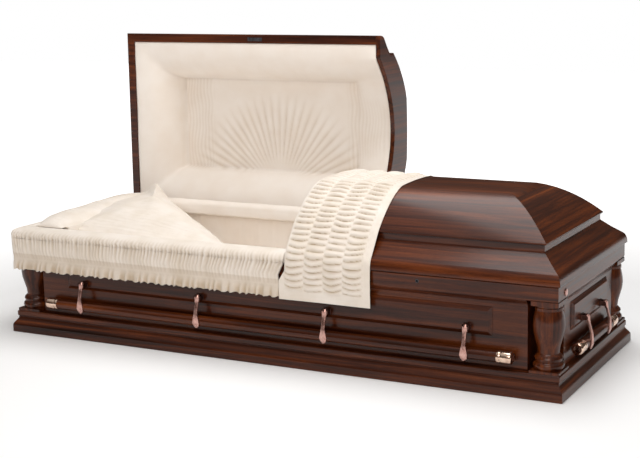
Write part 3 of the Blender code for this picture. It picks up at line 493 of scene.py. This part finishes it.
def lid_lining(name, start, end, header_at_start, pleated):
    edge_y = 0.368 - 0.034 - 0.6 * MM
    clear, rim = 0.018 + 0.9 * MM, 0.034 + 0.6 * MM
    x0 = start + (clear if header_at_start else rim)
    x1 = end - (rim if header_at_start else clear)
    xs = np.linspace(x0, x1, int((x1 - x0) / LINING_CELL))
    ys = np.linspace(-edge_y, edge_y, int(2 * edge_y / LINING_CELL))
    x, y = np.meshgrid(xs, ys, indexing="ij")
    from_rim, from_header = (x1 - x, x - x0) if header_at_start else (x - x0, x1 - x)
    across = edge_y - np.abs(y)
    arch = arch_height(y)
    by_header = arch + (PANEL_DEPTH - arch) * puff(from_header)
    sides = np.stack([PANEL_DEPTH * puff(across), PANEL_DEPTH * puff(from_rim), by_header])
    order = np.sort(sides, axis=0)
    soft = np.clip(1 - (order[1] - order[0]) / (14 * MM), 0, 1)
    depth = order[0] - 3.0 * MM * soft ** 2
    grid = np.stack([x.ravel(), y.ravel()], axis=1)
    sway = wander(grid, 0.11, 3.0).reshape(x.shape)
    crease = wander(grid * np.array([1.0, 0.35]), 0.035, 8.0).reshape(x.shape)
    on_panel = np.clip((depth - 0.72 * PANEL_DEPTH) / (0.2 * PANEL_DEPTH), 0, 1)
    bump = 1.6 * MM + 1.2 * MM * sway * (1 - on_panel) + 0.35 * MM * crease
    if pleated:
        centre = (-0.425, edge_y - ROLL_WIDTH + 0.095)
        rays, grooves = sunburst(x, y, centre, 0.12, 0.42, 62)
        small = 0.5 + 0.5 * np.sin(2 * pi * (x / 0.0155 + 0.7 * sway))
        at_side = np.clip((np.abs(x - centre[0]) - 0.30) / 0.03, 0, 1)
        bump = bump + on_panel * (4.4 * MM * (1 - rays) + 1.7 * MM * small * at_side - 1.5 * MM)
        # Painted shade: darker cloth in the pleats' grooves and in the hollows of the side shirring.
        pleat_shade_paint = on_panel * (0.45 * grooves + 0.22 * at_side * (1 - small))
    lift = LINING_LIFT + np.clip(bump, 0, LINING_THICK - 0.8 * MM)
    face = np.stack([x, y, RIM_BOTTOM + lift + np.maximum(depth, 0)], axis=-1)
    back = face.copy()
    back[..., 2] = RIM_BOTTOM + LINING_LIFT + LINING_THICK + np.maximum(depth, 0)
    if not pleated:
        return surface(name, face, back)
    turned = []
    for grid in (face, back):
        y, z = grid[..., 1] - HINGE_Y, grid[..., 2] - HINGE_Z
        open_grid = grid.copy()
        open_grid[..., 1] = HINGE_Y + y * cos(OPEN_ANGLE) + z * sin(OPEN_ANGLE)
        open_grid[..., 2] = HINGE_Z - y * sin(OPEN_ANGLE) + z * cos(OPEN_ANGLE)
        turned.append(open_grid)
    return surface(name, *turned, fold=pleat_shade_paint)


head_lining = finish_cloth(lid_lining("pleated_head_lid_lining", -1.0525, 0.097, False, True),
                           SATIN, "head_lid", "head_lid_lining")
foot_lining = finish_cloth(lid_lining("plain_foot_lid_lining", 0.100, 1.0525, True, False),
                           SATIN, "foot_lid", "foot_lid_lining")
print("lid linings:", len(head_lining.data.polygons), len(foot_lining.data.polygons), "faces")

# %% [markdown]
# The skirt: a padded roll over the rail, then a shirred drop that narrows to a seam and ends
# in a ruffled hem. It runs along the front and round the head end in one piece.
# Shade is painted into the valleys of the gathers and the ruffle, and the drop is painted darker below 0.30 m.

# %% Skirt
RAIL_X = 1.045
RAIL_Y = 0.3605
BOX_TOP = 0.355
SKIRT_HEM = 0.232
SKIRT_OUT = 19.5 * MM
ROLL_IN = 72 * MM
ROLL_TOP = 0.393
CORNER_ROUND = 26 * MM
SKIRT_CELL = 2.7 * MM
SKIRT_KEEP = 0.765
THROW_LEFT = 0.1005
THROW_FLARE = 22.5 * MM
FLARE_TOP = 0.330
FLARE_DROP = 0.035


def throw_left(level):
    # The throw's left edge, which flares towards the head below the rim.
    return THROW_LEFT - THROW_FLARE * np.clip((FLARE_TOP - level) / FLARE_DROP, 0, 1)


def skirt_section():
    # (offset from the rail, height, share of the gathers, share of the ruffle) from the inner
    # edge of the roll over its top and down to the hem.
    rest = BOX_TOP + 0.6 * MM
    middle, half = (SKIRT_OUT - ROLL_IN) / 2, (SKIRT_OUT + ROLL_IN) / 2
    rows = []
    for i in range(25):
        a = pi * i / 24 * 0.93
        height = rest + (ROLL_TOP - rest) * sin(a) ** 0.8
        rows.append((middle - half * cos(a), height, max(0.0, (i - 18) / 8.0), 0.0))
    top = rows[-1][1]
    drop = 30
    for i in range(1, drop + 1):
        t = i / drop
        level = top + (SKIRT_HEM + 4 * MM - top) * t
        waist = np.exp(-((level - 0.284) / 0.020) ** 2)
        flare = max(0.0, (0.272 - level) / 0.040)
        out = SKIRT_OUT - 3.0 * MM - 5.5 * MM * waist - 1.5 * MM * (1 - flare) * (level < 0.272)
        gather = 1.0 - 0.75 * min(1.0, max(0.0, (0.345 - level) / 0.055))
        rows.append((out, level, gather * (level > 0.280), min(1.0, max(0.0, (0.279 - level) / 0.03))))
    return np.array(rows)


def make_skirt():
    section = skirt_section()
    roll_end = 0.097
    back_end = RAIL_Y - 30 * MM
    front = int((roll_end + RAIL_X) / SKIRT_CELL)
    side = int((back_end + RAIL_Y) / SKIRT_CELL)
    offset, level = section[:, 0], section[:, 1]
    pressed = SKIRT_HEM + SKIRT_KEEP * (level - SKIRT_HEM)
    end_x = np.minimum(roll_end, np.minimum(throw_left(level), throw_left(pressed)) - 1.5 * MM)
    columns = []
    for i in range(front + 1):
        t = i / front
        corner_x, y = -(RAIL_X + offset), -(RAIL_Y + offset)
        columns.append(np.stack([end_x + (corner_x - end_x) * t, y + 0 * offset, level], axis=-1))
    for i in range(1, side + 1):
        t = i / side
        start_y = -(RAIL_Y + offset)
        columns.append(np.stack([-(RAIL_X + offset), start_y + (back_end - start_y) * t, level], axis=-1))
    face = np.array(columns)
    back = face.copy()
    rest = BOX_TOP + 0.6 * MM
    on_roll = level >= rest
    back[:, on_roll, 2] = rest
    hang = ~on_roll
    inside = 8.2 * MM
    back[:front + 1, hang, 1] = -(RAIL_Y + inside)
    back[front:, hang, 0] = -(RAIL_X + inside)
    run = np.concatenate([np.zeros(1), np.cumsum(np.full(len(columns) - 1, SKIRT_CELL))])
    waver = wander(run[:, None], 0.05, 1.0) + 0.6 * wander(run[:, None], 0.021, 5.0)
    strength = 0.75 + 0.35 * wander(run[:, None], 0.04, 9.0)
    gathers = np.sin(2 * pi * (run / 0.0148 + 0.42 * waver)) * strength
    fine = np.sin(2 * pi * (run / 0.0083 + 0.5 * waver[::-1])) * 0.35
    ruffle = np.sin(2 * pi * (run / 0.034 + 0.55 * waver)) * (0.8 + 0.3 * strength)
    lumps = np.array([wander(np.stack([run, np.full_like(run, h)], axis=1), 0.028, 2.0) for h in level]).T
    push = (gathers + fine)[:, None] * section[:, 2] * 3.0 * MM + lumps * section[:, 2] * 1.6 * MM
    push += ruffle[:, None] * section[:, 3] * 3.4 * MM + lumps * 0.7 * MM
    outward = np.zeros_like(face)
    outward[:front + 1, :, 1] = -1.0
    outward[front + 1:, :, 0] = -1.0
    near = np.abs(np.arange(len(columns)) - front) < 4
    outward[near] = (-0.707, -0.707, 0.0)
    face += outward * np.clip(push, -4.5 * MM, 3.0 * MM)[..., None]
    scallop = (0.5 + 0.5 * np.cos(2 * pi * (run / 0.034 + 0.55 * waver))) ** 1.5
    lowest = section[:, 3] ** 2
    for grid in (face, back):
        grid[..., 2] += scallop[:, None] * lowest * 5.5 * MM
    for grid in (face, back):
        # Rounds the outer corner by pulling points in along the diagonal.
        away = np.maximum(grid[..., 0] + RAIL_X + SKIRT_OUT, 0) + np.maximum(grid[..., 1] + RAIL_Y + SKIRT_OUT, 0)
        pull = CORNER_ROUND * 0.29 * np.clip(1 - away / (CORNER_ROUND * 1.5), 0, 1) ** 2
        outer = (grid[..., 0] < -RAIL_X - 2 * MM) | (grid[..., 1] < -RAIL_Y - 2 * MM)
        grid[..., 0] += pull * outer
        grid[..., 1] += pull * outer
    # Painted shade in the gather and ruffle valleys; the drop below 0.30 m is painted darker as well.
    painted_darkening = np.clip(0.5 - 0.6 * gathers, 0, 1)[:, None] * section[:, 2] * 0.6
    painted_darkening += np.clip(0.5 - 0.6 * ruffle, 0, 1)[:, None] * section[:, 3] * 0.5 + 0.35 * (level < 0.30)
    return surface("shirred_skirt", face, back, fold=painted_darkening)


skirt = finish_cloth(make_skirt(), CREPE, "box", "skirt")
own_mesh(skirt)
print("skirt:", len(skirt.data.polygons), "faces, pleats every 15 mm")

# %% [markdown]
# The throw: smocked in four columns of sagging puffs, with a plain hem. It lies on the line
# that a taut cloth takes over the lid's section, found as the hull of the header board.
# Shade is painted into the hollows between the puffs.

# %% Throw
FOOT_START = 0.100
THROW_WIDTH = 0.316
THROW_HEM = 0.2305
THROW_LIFT = 1.7 * MM
PUFF_WIDTH = 71 * MM
PUFF_PITCH = 22 * MM
PUFF_HEIGHT = 9.5 * MM
THROW_BORDER = 30 * MM


def hull_over(points):
    # Upper hull of (y, z) points from front to back.
    line = []
    for p in sorted(set(points)):
        while len(line) > 1:
            (ay, az), (by, bz) = line[-2], line[-1]
            if (by - ay) * (p[1] - az) - (bz - az) * (p[0] - ay) >= 0:
                line.pop()
            else:
                break
        line.append(p)
    return line


def throw_line(cell):
    board = frame["nodes"]["foot_lid_header"].data
    points = [(round(v.co.y, 5), round(v.co.z, 5)) for v in board.vertices]
    hull = [p for p in hull_over(points) if p[0] < 0.3005]
    path = [(-0.3682, THROW_HEM), (-0.3682, 0.357)] + hull[1:]
    dense = []
    for (ay, az), (by, bz) in zip(path, path[1:]):
        steps = max(1, int(hypot(by - ay, bz - az) / (cell * 0.25)))
        dense += [(ay + (by - ay) * i / steps, az + (bz - az) * i / steps) for i in range(steps)]
    dense = np.array(dense + [path[-1]])
    window = np.hanning(27)
    padded_line = np.concatenate([np.repeat(dense[:1], 13, 0), dense, np.repeat(dense[-1:], 13, 0)])
    smooth = np.stack([np.convolve(padded_line[:, k], window / window.sum(), "valid") for k in (0, 1)], axis=1)
    run = np.concatenate([[0.0], np.cumsum(np.hypot(*np.diff(smooth, axis=0).T))])
    rows = int(run[-1] / cell)
    at = np.linspace(0, run[-1], rows)
    line = np.stack([np.interp(at, run, smooth[:, k]) for k in (0, 1)], axis=1)
    slope = np.gradient(line, axis=0)
    slope /= np.linalg.norm(slope, axis=1)[:, None]
    return line, np.stack([-slope[:, 1], slope[:, 0]], axis=1), at


def make_throw():
    cell = 2.75 * MM
    line, outward, run = throw_line(cell)
    columns = int((THROW_WIDTH + THROW_FLARE) / cell)
    u = np.linspace(0, 1, columns)
    below = np.clip((0.357 - line[:, 1]) / (0.357 - THROW_HEM) * 3, 0, 1) * (line[:, 0] < 0)
    left = np.where(line[:, 0] < 0, throw_left(line[:, 1]), THROW_LEFT)
    x = left[:, None] + (FOOT_START + THROW_WIDTH - left)[:, None] * u[None, :]
    s = np.repeat(run[:, None], columns, axis=1)
    lean = 6 * MM * below
    place = x - FOOT_START - 3 * MM + lean[:, None] * (1 - u[None, :])
    column = np.floor(place / PUFF_WIDTH)
    dx = (place / PUFF_WIDTH - column) * 2 - 1
    inside = np.clip(1 - dx * dx, 0, 1)
    grid = np.stack([x.ravel(), s.ravel()], axis=1)
    drift = wander(grid, 0.06, 4.0).reshape(x.shape)
    along = s - THROW_BORDER + 6 * MM * inside + column * 11.5 * MM + 5 * MM * drift
    row = np.floor(along / PUFF_PITCH)
    phase = along / PUFF_PITCH - row
    varied = 0.78 + 0.4 * np.abs(np.sin(row * 12.9898 + column * 78.233))
    lens = np.clip(np.sin(pi * phase), 0, 1) ** 0.6 * (0.35 + 0.65 * (1 - phase)) * 1.25
    swell = PUFF_HEIGHT * lens * inside ** 0.75 * varied
    border = np.clip((s - THROW_BORDER) / (8 * MM), 0, 1) * np.clip((FOOT_START + THROW_WIDTH - 24 * MM - x) / (8 * MM), 0, 1)
    border = border * np.clip((place + 2 * MM) / (8 * MM), 0, 1) * np.clip((run[-1] - s) / (20 * MM), 0, 1)
    ripple = 0.5 * MM * wander(grid, 0.018, 6.0).reshape(x.shape)
    hem_line = 0.5 * MM * np.exp(-((s - 15 * MM) / (2.5 * MM)) ** 2)
    height = 1.3 * MM + swell * border + np.maximum(ripple, -0.4 * MM) - hem_line
    sway = 1.2 * MM * (1 + np.sin(x / 0.050)) * below[:, None]
    base = THROW_LIFT + sway
    face = np.stack([x, line[:, 0][:, None] + outward[:, 0][:, None] * (base + height),
                     line[:, 1][:, None] + outward[:, 1][:, None] * (base + height)], axis=-1)
    back = np.stack([x, line[:, 0][:, None] + outward[:, 0][:, None] * base,
                     line[:, 1][:, None] + outward[:, 1][:, None] * base], axis=-1)
    # Painted shade in the hollows between the puffs, deepest where one row of puffs meets the next.
    painted_darkening = border * (0.9 * np.exp(-((1 - phase) / 0.13) ** 2) + 0.5 * (1 - lens)) * inside ** 0.3
    return surface("smocked_throw", face, back, fold=0.85 * painted_darkening), run[-1], x.shape


throw, throw_length, THROW_GRID = make_throw()
finish_cloth(throw, CREPE, "foot_lid", "throw")
print("throw:", len(throw.data.polygons), "faces, laid length", round(throw_length, 3), "m")

# %% [markdown]
# The pillow and the roll in front of the open lid are stuffed. Each starts as a
# voxel copy of its solid, a little smaller, and is blown up by a short cloth simulation.

# %% Stuffed pieces
SIM_FRAMES = 20
PRESSURE = 4.0


def points_of(mesh):
    flat = np.empty(len(mesh.vertices) * 3, dtype=np.float32)
    mesh.vertices.foreach_get("co", flat)
    return flat.reshape(-1, 3).astype(float)


def set_points(mesh, points):
    mesh.vertices.foreach_set("co", points.astype(np.float32).ravel())
    mesh.update()


def normals_of(mesh):
    flat = np.empty(len(mesh.vertices) * 3, dtype=np.float32)
    mesh.vertex_normals.foreach_get("vector", flat)
    return flat.reshape(-1, 3).astype(float)


def add_modifier(obj, name, kind, **settings):
    modifier = obj.modifiers.new(name, kind)
    for key, value in settings.items():
        setattr(modifier, key, value)
    return modifier


def blow_up(obj, cap):
    start = points_of(obj.data)
    cloth = obj.modifiers.new("stuffing", "CLOTH")
    cloth.settings.quality = 4
    cloth.settings.mass = 0.3
    cloth.settings.use_pressure = True
    cloth.settings.uniform_pressure_force = PRESSURE
    cloth.settings.effector_weights.gravity = 0.0
    cloth.point_cache.frame_start = 1
    cloth.point_cache.frame_end = SIM_FRAMES
    for step in range(1, SIM_FRAMES + 1):
        bpy.context.scene.frame_set(step)
    settle(obj)
    bpy.context.scene.frame_set(1)
    moved = points_of(obj.data) - start
    length = np.linalg.norm(moved, axis=1)[:, None]
    set_points(obj.data, start + moved * np.minimum(1.0, cap / np.maximum(length, 1e-9)))


def stuffed(name, node, voxel_mm, shrink_mm, cap_mm, smoothing):
    piece = link(name, merged_copy(name, node))
    add_modifier(piece, "even_mesh", "REMESH", mode="VOXEL", voxel_size=voxel_mm * MM)
    add_modifier(piece, "round_edges", "SMOOTH", factor=0.6, iterations=smoothing)
    settle(piece)
    set_points(piece.data, points_of(piece.data) - normals_of(piece.data) * shrink_mm * MM)
    blow_up(piece, cap_mm * MM)
    add_modifier(piece, "finer", "SUBSURF", levels=1, render_levels=1)
    settle(piece)
    piece.data.shade_smooth()
    return piece


def wrinkle(piece, size, stretch, depth_mm, seed):
    # Moves the cloth along its normals by smooth noise, drawn out along one direction.
    points = points_of(piece.data)
    scaled = points / (np.array(stretch) * size)
    values = np.array([noise.noise((p[0], p[1], p[2] + seed)) for p in scaled.tolist()])
    set_points(piece.data, points + normals_of(piece.data) * (values * depth_mm * MM)[:, None])


def spread_pillow(piece):
    # The corner by the front wall sags towards the foot; the far corner stands up.
    points = points_of(piece.data)
    x, y, z = points.T
    slack = np.clip((x + 0.80) / 0.35, 0, 1)
    points[:, 0] += slack * (0.03 + 0.115 * np.clip((0.2 - y) / 0.5, 0, 1))
    peak = np.exp(-((x + 0.86) / 0.12) ** 2 - ((y - 0.28) / 0.09) ** 2) * np.clip((z - 0.38) / 0.06, 0, 1)
    points[:, 2] += 0.030 * peak
    points[:, 0] -= 0.030 * peak
    set_points(piece.data, points)


pillow = stuffed("stuffed_pillow", "pillow", 7.0, 7.0, 9.0, 6)
spread_pillow(pillow)
wrinkle(pillow, 0.060, (2.2, 1.0, 1.0), 3.0, 2.0)
wrinkle(pillow, 0.0095, (7.0, 1.0, 1.0), 1.3, 7.0)
finish_cloth(pillow, CREPE, "box", "pillow")
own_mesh(pillow)


def make_pillow_edge():
    # The pillow's soft left edge, spread over the roll at the head end of the box.
    rows, columns = 56, 130
    y = np.linspace(-0.326, 0.272, columns)[None, :]
    t = np.linspace(0.0, 1.0, rows)[:, None]
    front_round, back_round = np.clip((-0.12 - y) / 0.19, 0, 1), np.clip((y - 0.10) / 0.17, 0, 1)
    outer = -1.032 + 0.055 * front_round ** 2 + 0.115 * back_round ** 2
    inner = -0.800 - 0.06 * front_round
    x = outer + (inner - outer) * t
    ends = np.clip(1 - np.abs(2 * (y + 0.027) / 0.598) ** 5, 0, 1) ** 0.6
    crown = 0.002 + 0.037 * np.sin(pi * np.clip(t * 1.05, 0, 1)) ** 0.62 * ends
    level = PILLOW_EDGE_LOW + crown + 0.018 * np.clip((y + 0.1) / 0.37, 0, 1) * np.sin(pi * t)
    grid = np.stack([x.ravel(), np.broadcast_to(y, x.shape).ravel()], axis=1)
    level = level + 2.2 * MM * wander(grid, 0.055, 3.0).reshape(x.shape) * ends * np.sin(pi * t)
    level = level + 0.8 * MM * wander(grid * np.array([0.3, 1.0]), 0.011, 6.0).reshape(x.shape) * np.sin(pi * t)
    face = np.stack([x, np.broadcast_to(y, x.shape), np.maximum(level, PILLOW_EDGE_LOW + 1.5 * MM)], axis=-1)
    back = face.copy()
    over_box = np.clip((x + 0.984) / 0.016, 0, 1) * np.clip((back[..., 1] + 0.2995) / 0.016, 0, 1)
    back[..., 2] = PILLOW_EDGE_LOW - 0.059 * over_box ** 2 * np.clip((0.262 - back[..., 1]) / 0.012, 0, 1)
    return surface("pillow_head_edge", face, back)


PILLOW_EDGE_LOW = 0.394
pillow_edge = finish_cloth(make_pillow_edge(), CREPE, "box")
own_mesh(pillow_edge)
back_roll = stuffed("stuffed_back_roll", "back_roll", 5.5, 4.0, 5.0, 4)
wrinkle(back_roll, 0.050, (1.0, 1.0, 1.0), 1.6, 4.0)
finish_cloth(back_roll, SATIN, "box", "back_roll")
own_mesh(back_roll)
print("pillow and roll:", len(pillow.data.polygons), len(back_roll.data.polygons), "faces")

# %% [markdown]
# The mattress cover is a low crowned pad, and the box is lined with softly gathered cloth.

# %% Bed and box lining
WALL_X = 1.029
WALL_Y = 0.3445
NOTCH = 0.0874
BOARD = 0.019
LINING = 16 * MM
BED_BOTTOM = 0.0198
BED_TOP = 0.235
LINING_TOP = 0.3549


def notched(inset, step):
    # Plan of the box's inside, moved in by inset, as evenly spaced points.
    x, y = WALL_X - inset, WALL_Y - inset
    u, v = x - NOTCH, y - NOTCH
    corners = [(-u, -y), (u, -y), (u, -v), (x, -v), (x, v), (u, v),
               (u, y), (-u, y), (-u, v), (-x, v), (-x, -v), (-u, -v)]
    points = []
    for (ax, ay), (bx, by) in zip(corners, corners[1:] + corners[:1]):
        count = max(2, int(round(hypot(bx - ax, by - ay) / step)))
        points += [(ax + (bx - ax) * i / count, ay + (by - ay) * i / count) for i in range(count)]
    return np.array(points)


def make_box_lining():
    step = 4 * MM
    inner = notched(BOARD + 0.6 * MM + LINING, step)
    ahead = np.roll(inner, -1, axis=0) - np.roll(inner, 1, axis=0)
    ahead /= np.maximum(np.linalg.norm(ahead, axis=1), 1e-9)[:, None]
    outward = np.stack([ahead[:, 1], -ahead[:, 0]], axis=1)
    run = np.arange(len(inner)) * step
    waver = wander(run[:, None], 0.06, 2.0)
    fold = 0.5 + 0.5 * np.sin(2 * pi * (run / 0.048 + 0.5 * waver))
    levels = np.concatenate([np.linspace(BED_BOTTOM, 0.215, 4), np.linspace(0.225, LINING_TOP - 4 * MM, 12)])
    section = [(0.3 * MM, level, 1.0 if level > 0.22 else 0.3) for level in levels]
    section += [(2.0 * MM, LINING_TOP - 1.5 * MM, 0.4), (6 * MM, LINING_TOP, 0.1), (LINING - 1 * MM, LINING_TOP, 0.0),
                (LINING - 0.2 * MM, LINING_TOP - 3 * MM, 0.0), (LINING - 0.2 * MM, BED_BOTTOM, 0.0)]
    rings = []
    for out, level, share in section:
        push = out + fold * 1.2 * MM * share
        ring = inner + outward * push[:, None]
        rings.append(np.column_stack([ring, np.full(len(ring), level)]))
    rings = np.array(rings)
    rows, count = rings.shape[:2]
    index = np.arange(rows * count).reshape(rows, count)
    lower, upper = index, np.roll(index, -1, axis=0)
    faces = np.stack([lower, np.roll(lower, -1, axis=1), np.roll(upper, -1, axis=1), upper], axis=-1).reshape(-1, 4)
    mesh = bpy.data.meshes.new("box_lining")
    mesh.from_pydata(rings.reshape(-1, 3).tolist(), [], faces.tolist())
    bm = bmesh.new()
    bm.from_mesh(mesh)
    bmesh.ops.recalc_face_normals(bm, faces=bm.faces)
    bm.to_mesh(mesh)
    bm.free()
    mesh.shade_smooth()
    return link("gathered_box_lining", mesh)


def make_mattress():
    piece = link("mattress_cover", merged_copy("mattress_cover", "mattress"))
    add_modifier(piece, "even_mesh", "REMESH", mode="VOXEL", voxel_size=14 * MM)
    add_modifier(piece, "round_edges", "SMOOTH", factor=0.6, iterations=8)
    settle(piece)
    points = points_of(piece.data)
    top = np.clip((points[:, 2] - BED_TOP + 12 * MM) / (12 * MM), 0, 1)
    quilt = np.abs(np.sin(pi * points[:, 0] / 0.19)) ** 0.3 * np.abs(np.sin(pi * (points[:, 1] + 0.095) / 0.19)) ** 0.3
    points[:, 2] -= top * (1 - quilt) * 5 * MM
    set_points(piece.data, points)
    piece.data.shade_smooth()
    return piece


box_lining = finish_cloth(make_box_lining(), SATIN, "box", "body_lining")
mattress = finish_cloth(make_mattress(), SATIN, "box", "mattress")
print("box lining and mattress:", len(box_lining.data.polygons), len(mattress.data.polygons), "faces")

# %% [markdown]
# Each handle bar ends in a turned metal cap: a bead, a groove and a long sleeve with a domed
# end. The hem of the throw is sewn with small stitches that a Geometry Nodes group sets along
# its seam.

# %% Bar caps and stitches
CAP_LENGTH = 50 * MM
CAP_RADIUS = 20.7 * MM
BAR_HEIGHT = 0.122


def turned(name, profile, sides, place, axis):
    # Turns (radius, distance) pairs about a line through place, along X or Y.
    verts, faces = [], []
    for radius, distance in profile:
        for i in range(sides):
            a = 2 * pi * i / sides
            across, up = radius * cos(a), radius * sin(a)
            point = (distance, across, up) if axis == "X" else (-across, distance, up)
            verts.append([p + q for p, q in zip(point, place)])
    for k in range(len(profile) - 1):
        for i in range(sides):
            j = (i + 1) % sides
            faces.append((k * sides + i, k * sides + j, (k + 1) * sides + j, (k + 1) * sides + i))
    faces.append(list(range(sides))[::-1])
    faces.append([(len(profile) - 1) * sides + i for i in range(sides)])
    mesh = bpy.data.meshes.new(name)
    mesh.from_pydata(verts, [], faces)
    bm = bmesh.new()
    bm.from_mesh(mesh)
    bmesh.ops.recalc_face_normals(bm, faces=bm.faces)
    bm.to_mesh(mesh)
    bm.free()
    mesh.shade_smooth()
    mesh.set_sharp_from_angle(angle=radians(50))
    return link(name, mesh)


def cap_profile(end, sign):
    # From the rod outward; end is the bar's end and sign its direction.
    steps = [(0.0, 0.90), (0.4, 0.97), (2.0, 1.0), (8.0, 1.0), (10.0, 0.985), (11.5, 0.945), (13.5, 0.945),
             (15.0, 0.985), (17.0, 1.0), (43.0, 1.0), (46.0, 0.975), (48.4, 0.88), (49.7, 0.70), (50.1, 0.45)]
    return [(CAP_RADIUS * share, end + sign * (distance * MM - CAP_LENGTH)) for distance, share in steps]


BARS = {"front_handle": (0.903, "X", (0.0, -0.369, BAR_HEIGHT)), "back_handle": (0.903, "X", (0.0, 0.369, BAR_HEIGHT)),
        "head_handle": (0.200, "Y", (-1.0535, 0.0, BAR_HEIGHT)), "foot_handle": (0.200, "Y", (1.0535, 0.0, BAR_HEIGHT))}
for body, (half, axis, place) in BARS.items():
    for tag, sign in (("near", -1), ("far", 1)):
        cap = turned(f"{body}_{tag}_cap", cap_profile(sign * half, sign), 40, place, axis)
        cap.data.materials.append(BRIGHT)
        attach(cap, body)


def stitch_group(material):
    group = bpy.data.node_groups.new("stitches_along_a_seam", "GeometryNodeTree")
    group.interface.new_socket("Seam", in_out="INPUT", socket_type="NodeSocketGeometry")
    spacing = group.interface.new_socket("Spacing", in_out="INPUT", socket_type="NodeSocketFloat")
    size = group.interface.new_socket("Stitch length", in_out="INPUT", socket_type="NodeSocketFloat")
    group.interface.new_socket("Stitches", in_out="OUTPUT", socket_type="NodeSocketGeometry")
    source = group.nodes.new("NodeGroupInput")
    target = group.nodes.new("NodeGroupOutput")
    line = add(group, "GeometryNodeMeshToCurve", None, i0=source.outputs[0])
    dots = add(group, "GeometryNodeCurveToPoints", {"mode": "LENGTH"}, Curve=line.outputs[0], Length=source.outputs[1])
    ball = add(group, "GeometryNodeMeshUVSphere", None, Segments=6, Rings=5, Radius=0.5)
    thin = add(group, "ShaderNodeCombineXYZ", None, X=0.30, Y=0.30, Z=1.0)
    scale = add(group, "ShaderNodeVectorMath", {"operation": "SCALE"}, i0=thin.outputs[0], Scale=source.outputs[2])
    copies = add(group, "GeometryNodeInstanceOnPoints", None, Points=dots.outputs[0], Instance=ball.outputs[0],
                 Rotation=dots.outputs["Rotation"], Scale=scale.outputs[0])
    real = add(group, "GeometryNodeRealizeInstances", None, i0=copies.outputs[0])
    painted = add(group, "GeometryNodeSetMaterial", None, Geometry=real.outputs[0], Material=material)
    group.links.new(painted.outputs[0], target.inputs[0])
    return group, spacing.identifier, size.identifier


def seam_points():
    # The stitch line 15 mm in from the throw's front hem and its right edge, on the cloth's face.
    mesh = throw.data
    points = points_of(mesh)
    rows, columns = THROW_GRID
    face = points[:rows * columns].reshape(rows, columns, 3)
    row = 5
    column = columns - 6
    line = [face[row, k] for k in range(2, column)] + [face[k, column] for k in range(row, rows - 6)]
    return line


def make_stitches():
    line = seam_points()
    mesh = bpy.data.meshes.new("seam")
    mesh.from_pydata([tuple(p) for p in line], [(i, i + 1) for i in range(len(line) - 1)], [])
    piece = link("throw_stitches", mesh)
    group, spacing, size = stitch_group(CREPE)
    modifier = piece.modifiers.new("stitches", "NODES")
    modifier.node_group = group
    modifier[spacing] = 6.5 * MM
    modifier[size] = 4.0 * MM
    return settle(piece)


stitches = finish_cloth(make_stitches(), CREPE, "foot_lid")
print("bar caps and", len(stitches.data.polygons), "faces of stitches")

# %% [markdown]
# A pale floor and soft light from a broad overhead panel, with a white room around. The floor
# also glows, faintly near the box and almost white far off: painted light.

# %% Floor and light


def make_floor():
    bm = bmesh.new()
    bmesh.ops.create_grid(bm, x_segments=1, y_segments=1, size=12.0)
    mesh = bpy.data.meshes.new("floor")
    bm.to_mesh(mesh)
    bm.free()
    floor = link("floor", mesh)
    floor.location = (0.0, 0.0, -0.0005)
    material, tree, shader = new_material("pale_floor")
    shader.inputs["Base Color"].default_value = linear("#f4f4f4")
    shader.inputs["Roughness"].default_value = 0.9
    # Painted light: the floor glows more the further it lies from the box.
    away = add(tree, "ShaderNodeVectorMath", {"operation": "LENGTH"},
               i0=add(tree, "ShaderNodeTexCoord").outputs["Object"]).outputs["Value"]
    tree.links.new(grey_ramp(tree, away, FLOOR_GLOW_FROM, FLOOR_GLOW_TO, FLOOR_GLOW_NEAR, FLOOR_GLOW_FAR), shader.inputs["Emission Strength"])
    shader.inputs["Emission Color"].default_value = linear("#ffffff")
    floor.data.materials.append(material)


def area_light(name, place, target, size, power, colour="#ffffff"):
    data = bpy.data.lights.new(name, "AREA")
    data.shape = "RECTANGLE"
    data.size, data.size_y = size
    data.energy = power
    data.color = linear(colour)[:3]
    light = bpy.data.objects.new(name, data)
    light.location = place
    light.rotation_euler = (Vector(target) - Vector(place)).to_track_quat("-Z", "Y").to_euler()
    bpy.context.scene.collection.objects.link(light)


def make_world():
    # White behind the object; for reflections and light, bright overhead and dim at the horizon.
    world = bpy.data.worlds.new("studio")
    world.use_nodes = True
    tree = world.node_tree
    background = tree.nodes["Background"]
    up = add(tree, "ShaderNodeSeparateXYZ", Vector=add(tree, "ShaderNodeTexCoord").outputs["Generated"])
    glow = ramp(tree, up.outputs["Z"], [(0.0, "#6e5c50"), (0.12, "#5f5047"), (0.45, "#8a8078"), (0.75, "#ffffff")])
    seen = add(tree, "ShaderNodeLightPath").outputs["Is Camera Ray"]
    sky = add(tree, "ShaderNodeMix", {"data_type": "RGBA"}, i0=seen, i6=glow, i7=linear("#ffffff")).outputs[2]
    level = add(tree, "ShaderNodeMapRange", Value=seen, To_Min=WORLD_LIGHT, To_Max=WORLD_SEEN)
    tree.links.new(sky, background.inputs["Color"])
    tree.links.new(level.outputs["Result"], background.inputs["Strength"])
    bpy.context.scene.world = world


WORLD_LIGHT = 0.52
WORLD_SEEN = 1.0
# Painted light: the distances over which the floor's glow grows, and its strength near the box and far off.
FLOOR_GLOW_FROM, FLOOR_GLOW_TO = 1.5, 3.6
FLOOR_GLOW_NEAR, FLOOR_GLOW_FAR = 0.05, 0.95
make_floor()
make_world()
area_light("overhead_panel", (0.3, 0.05, 3.1), (0.0, -0.1, 0.3), (3.6, 1.6), 74)
area_light("front_panel", (1.4, -4.4, 2.9), (0.0, 0.0, 0.4), (3.4, 2.2), 90, "#fff8f2")
bpy.context.scene.view_settings.view_transform = "Standard"
print("stage set")
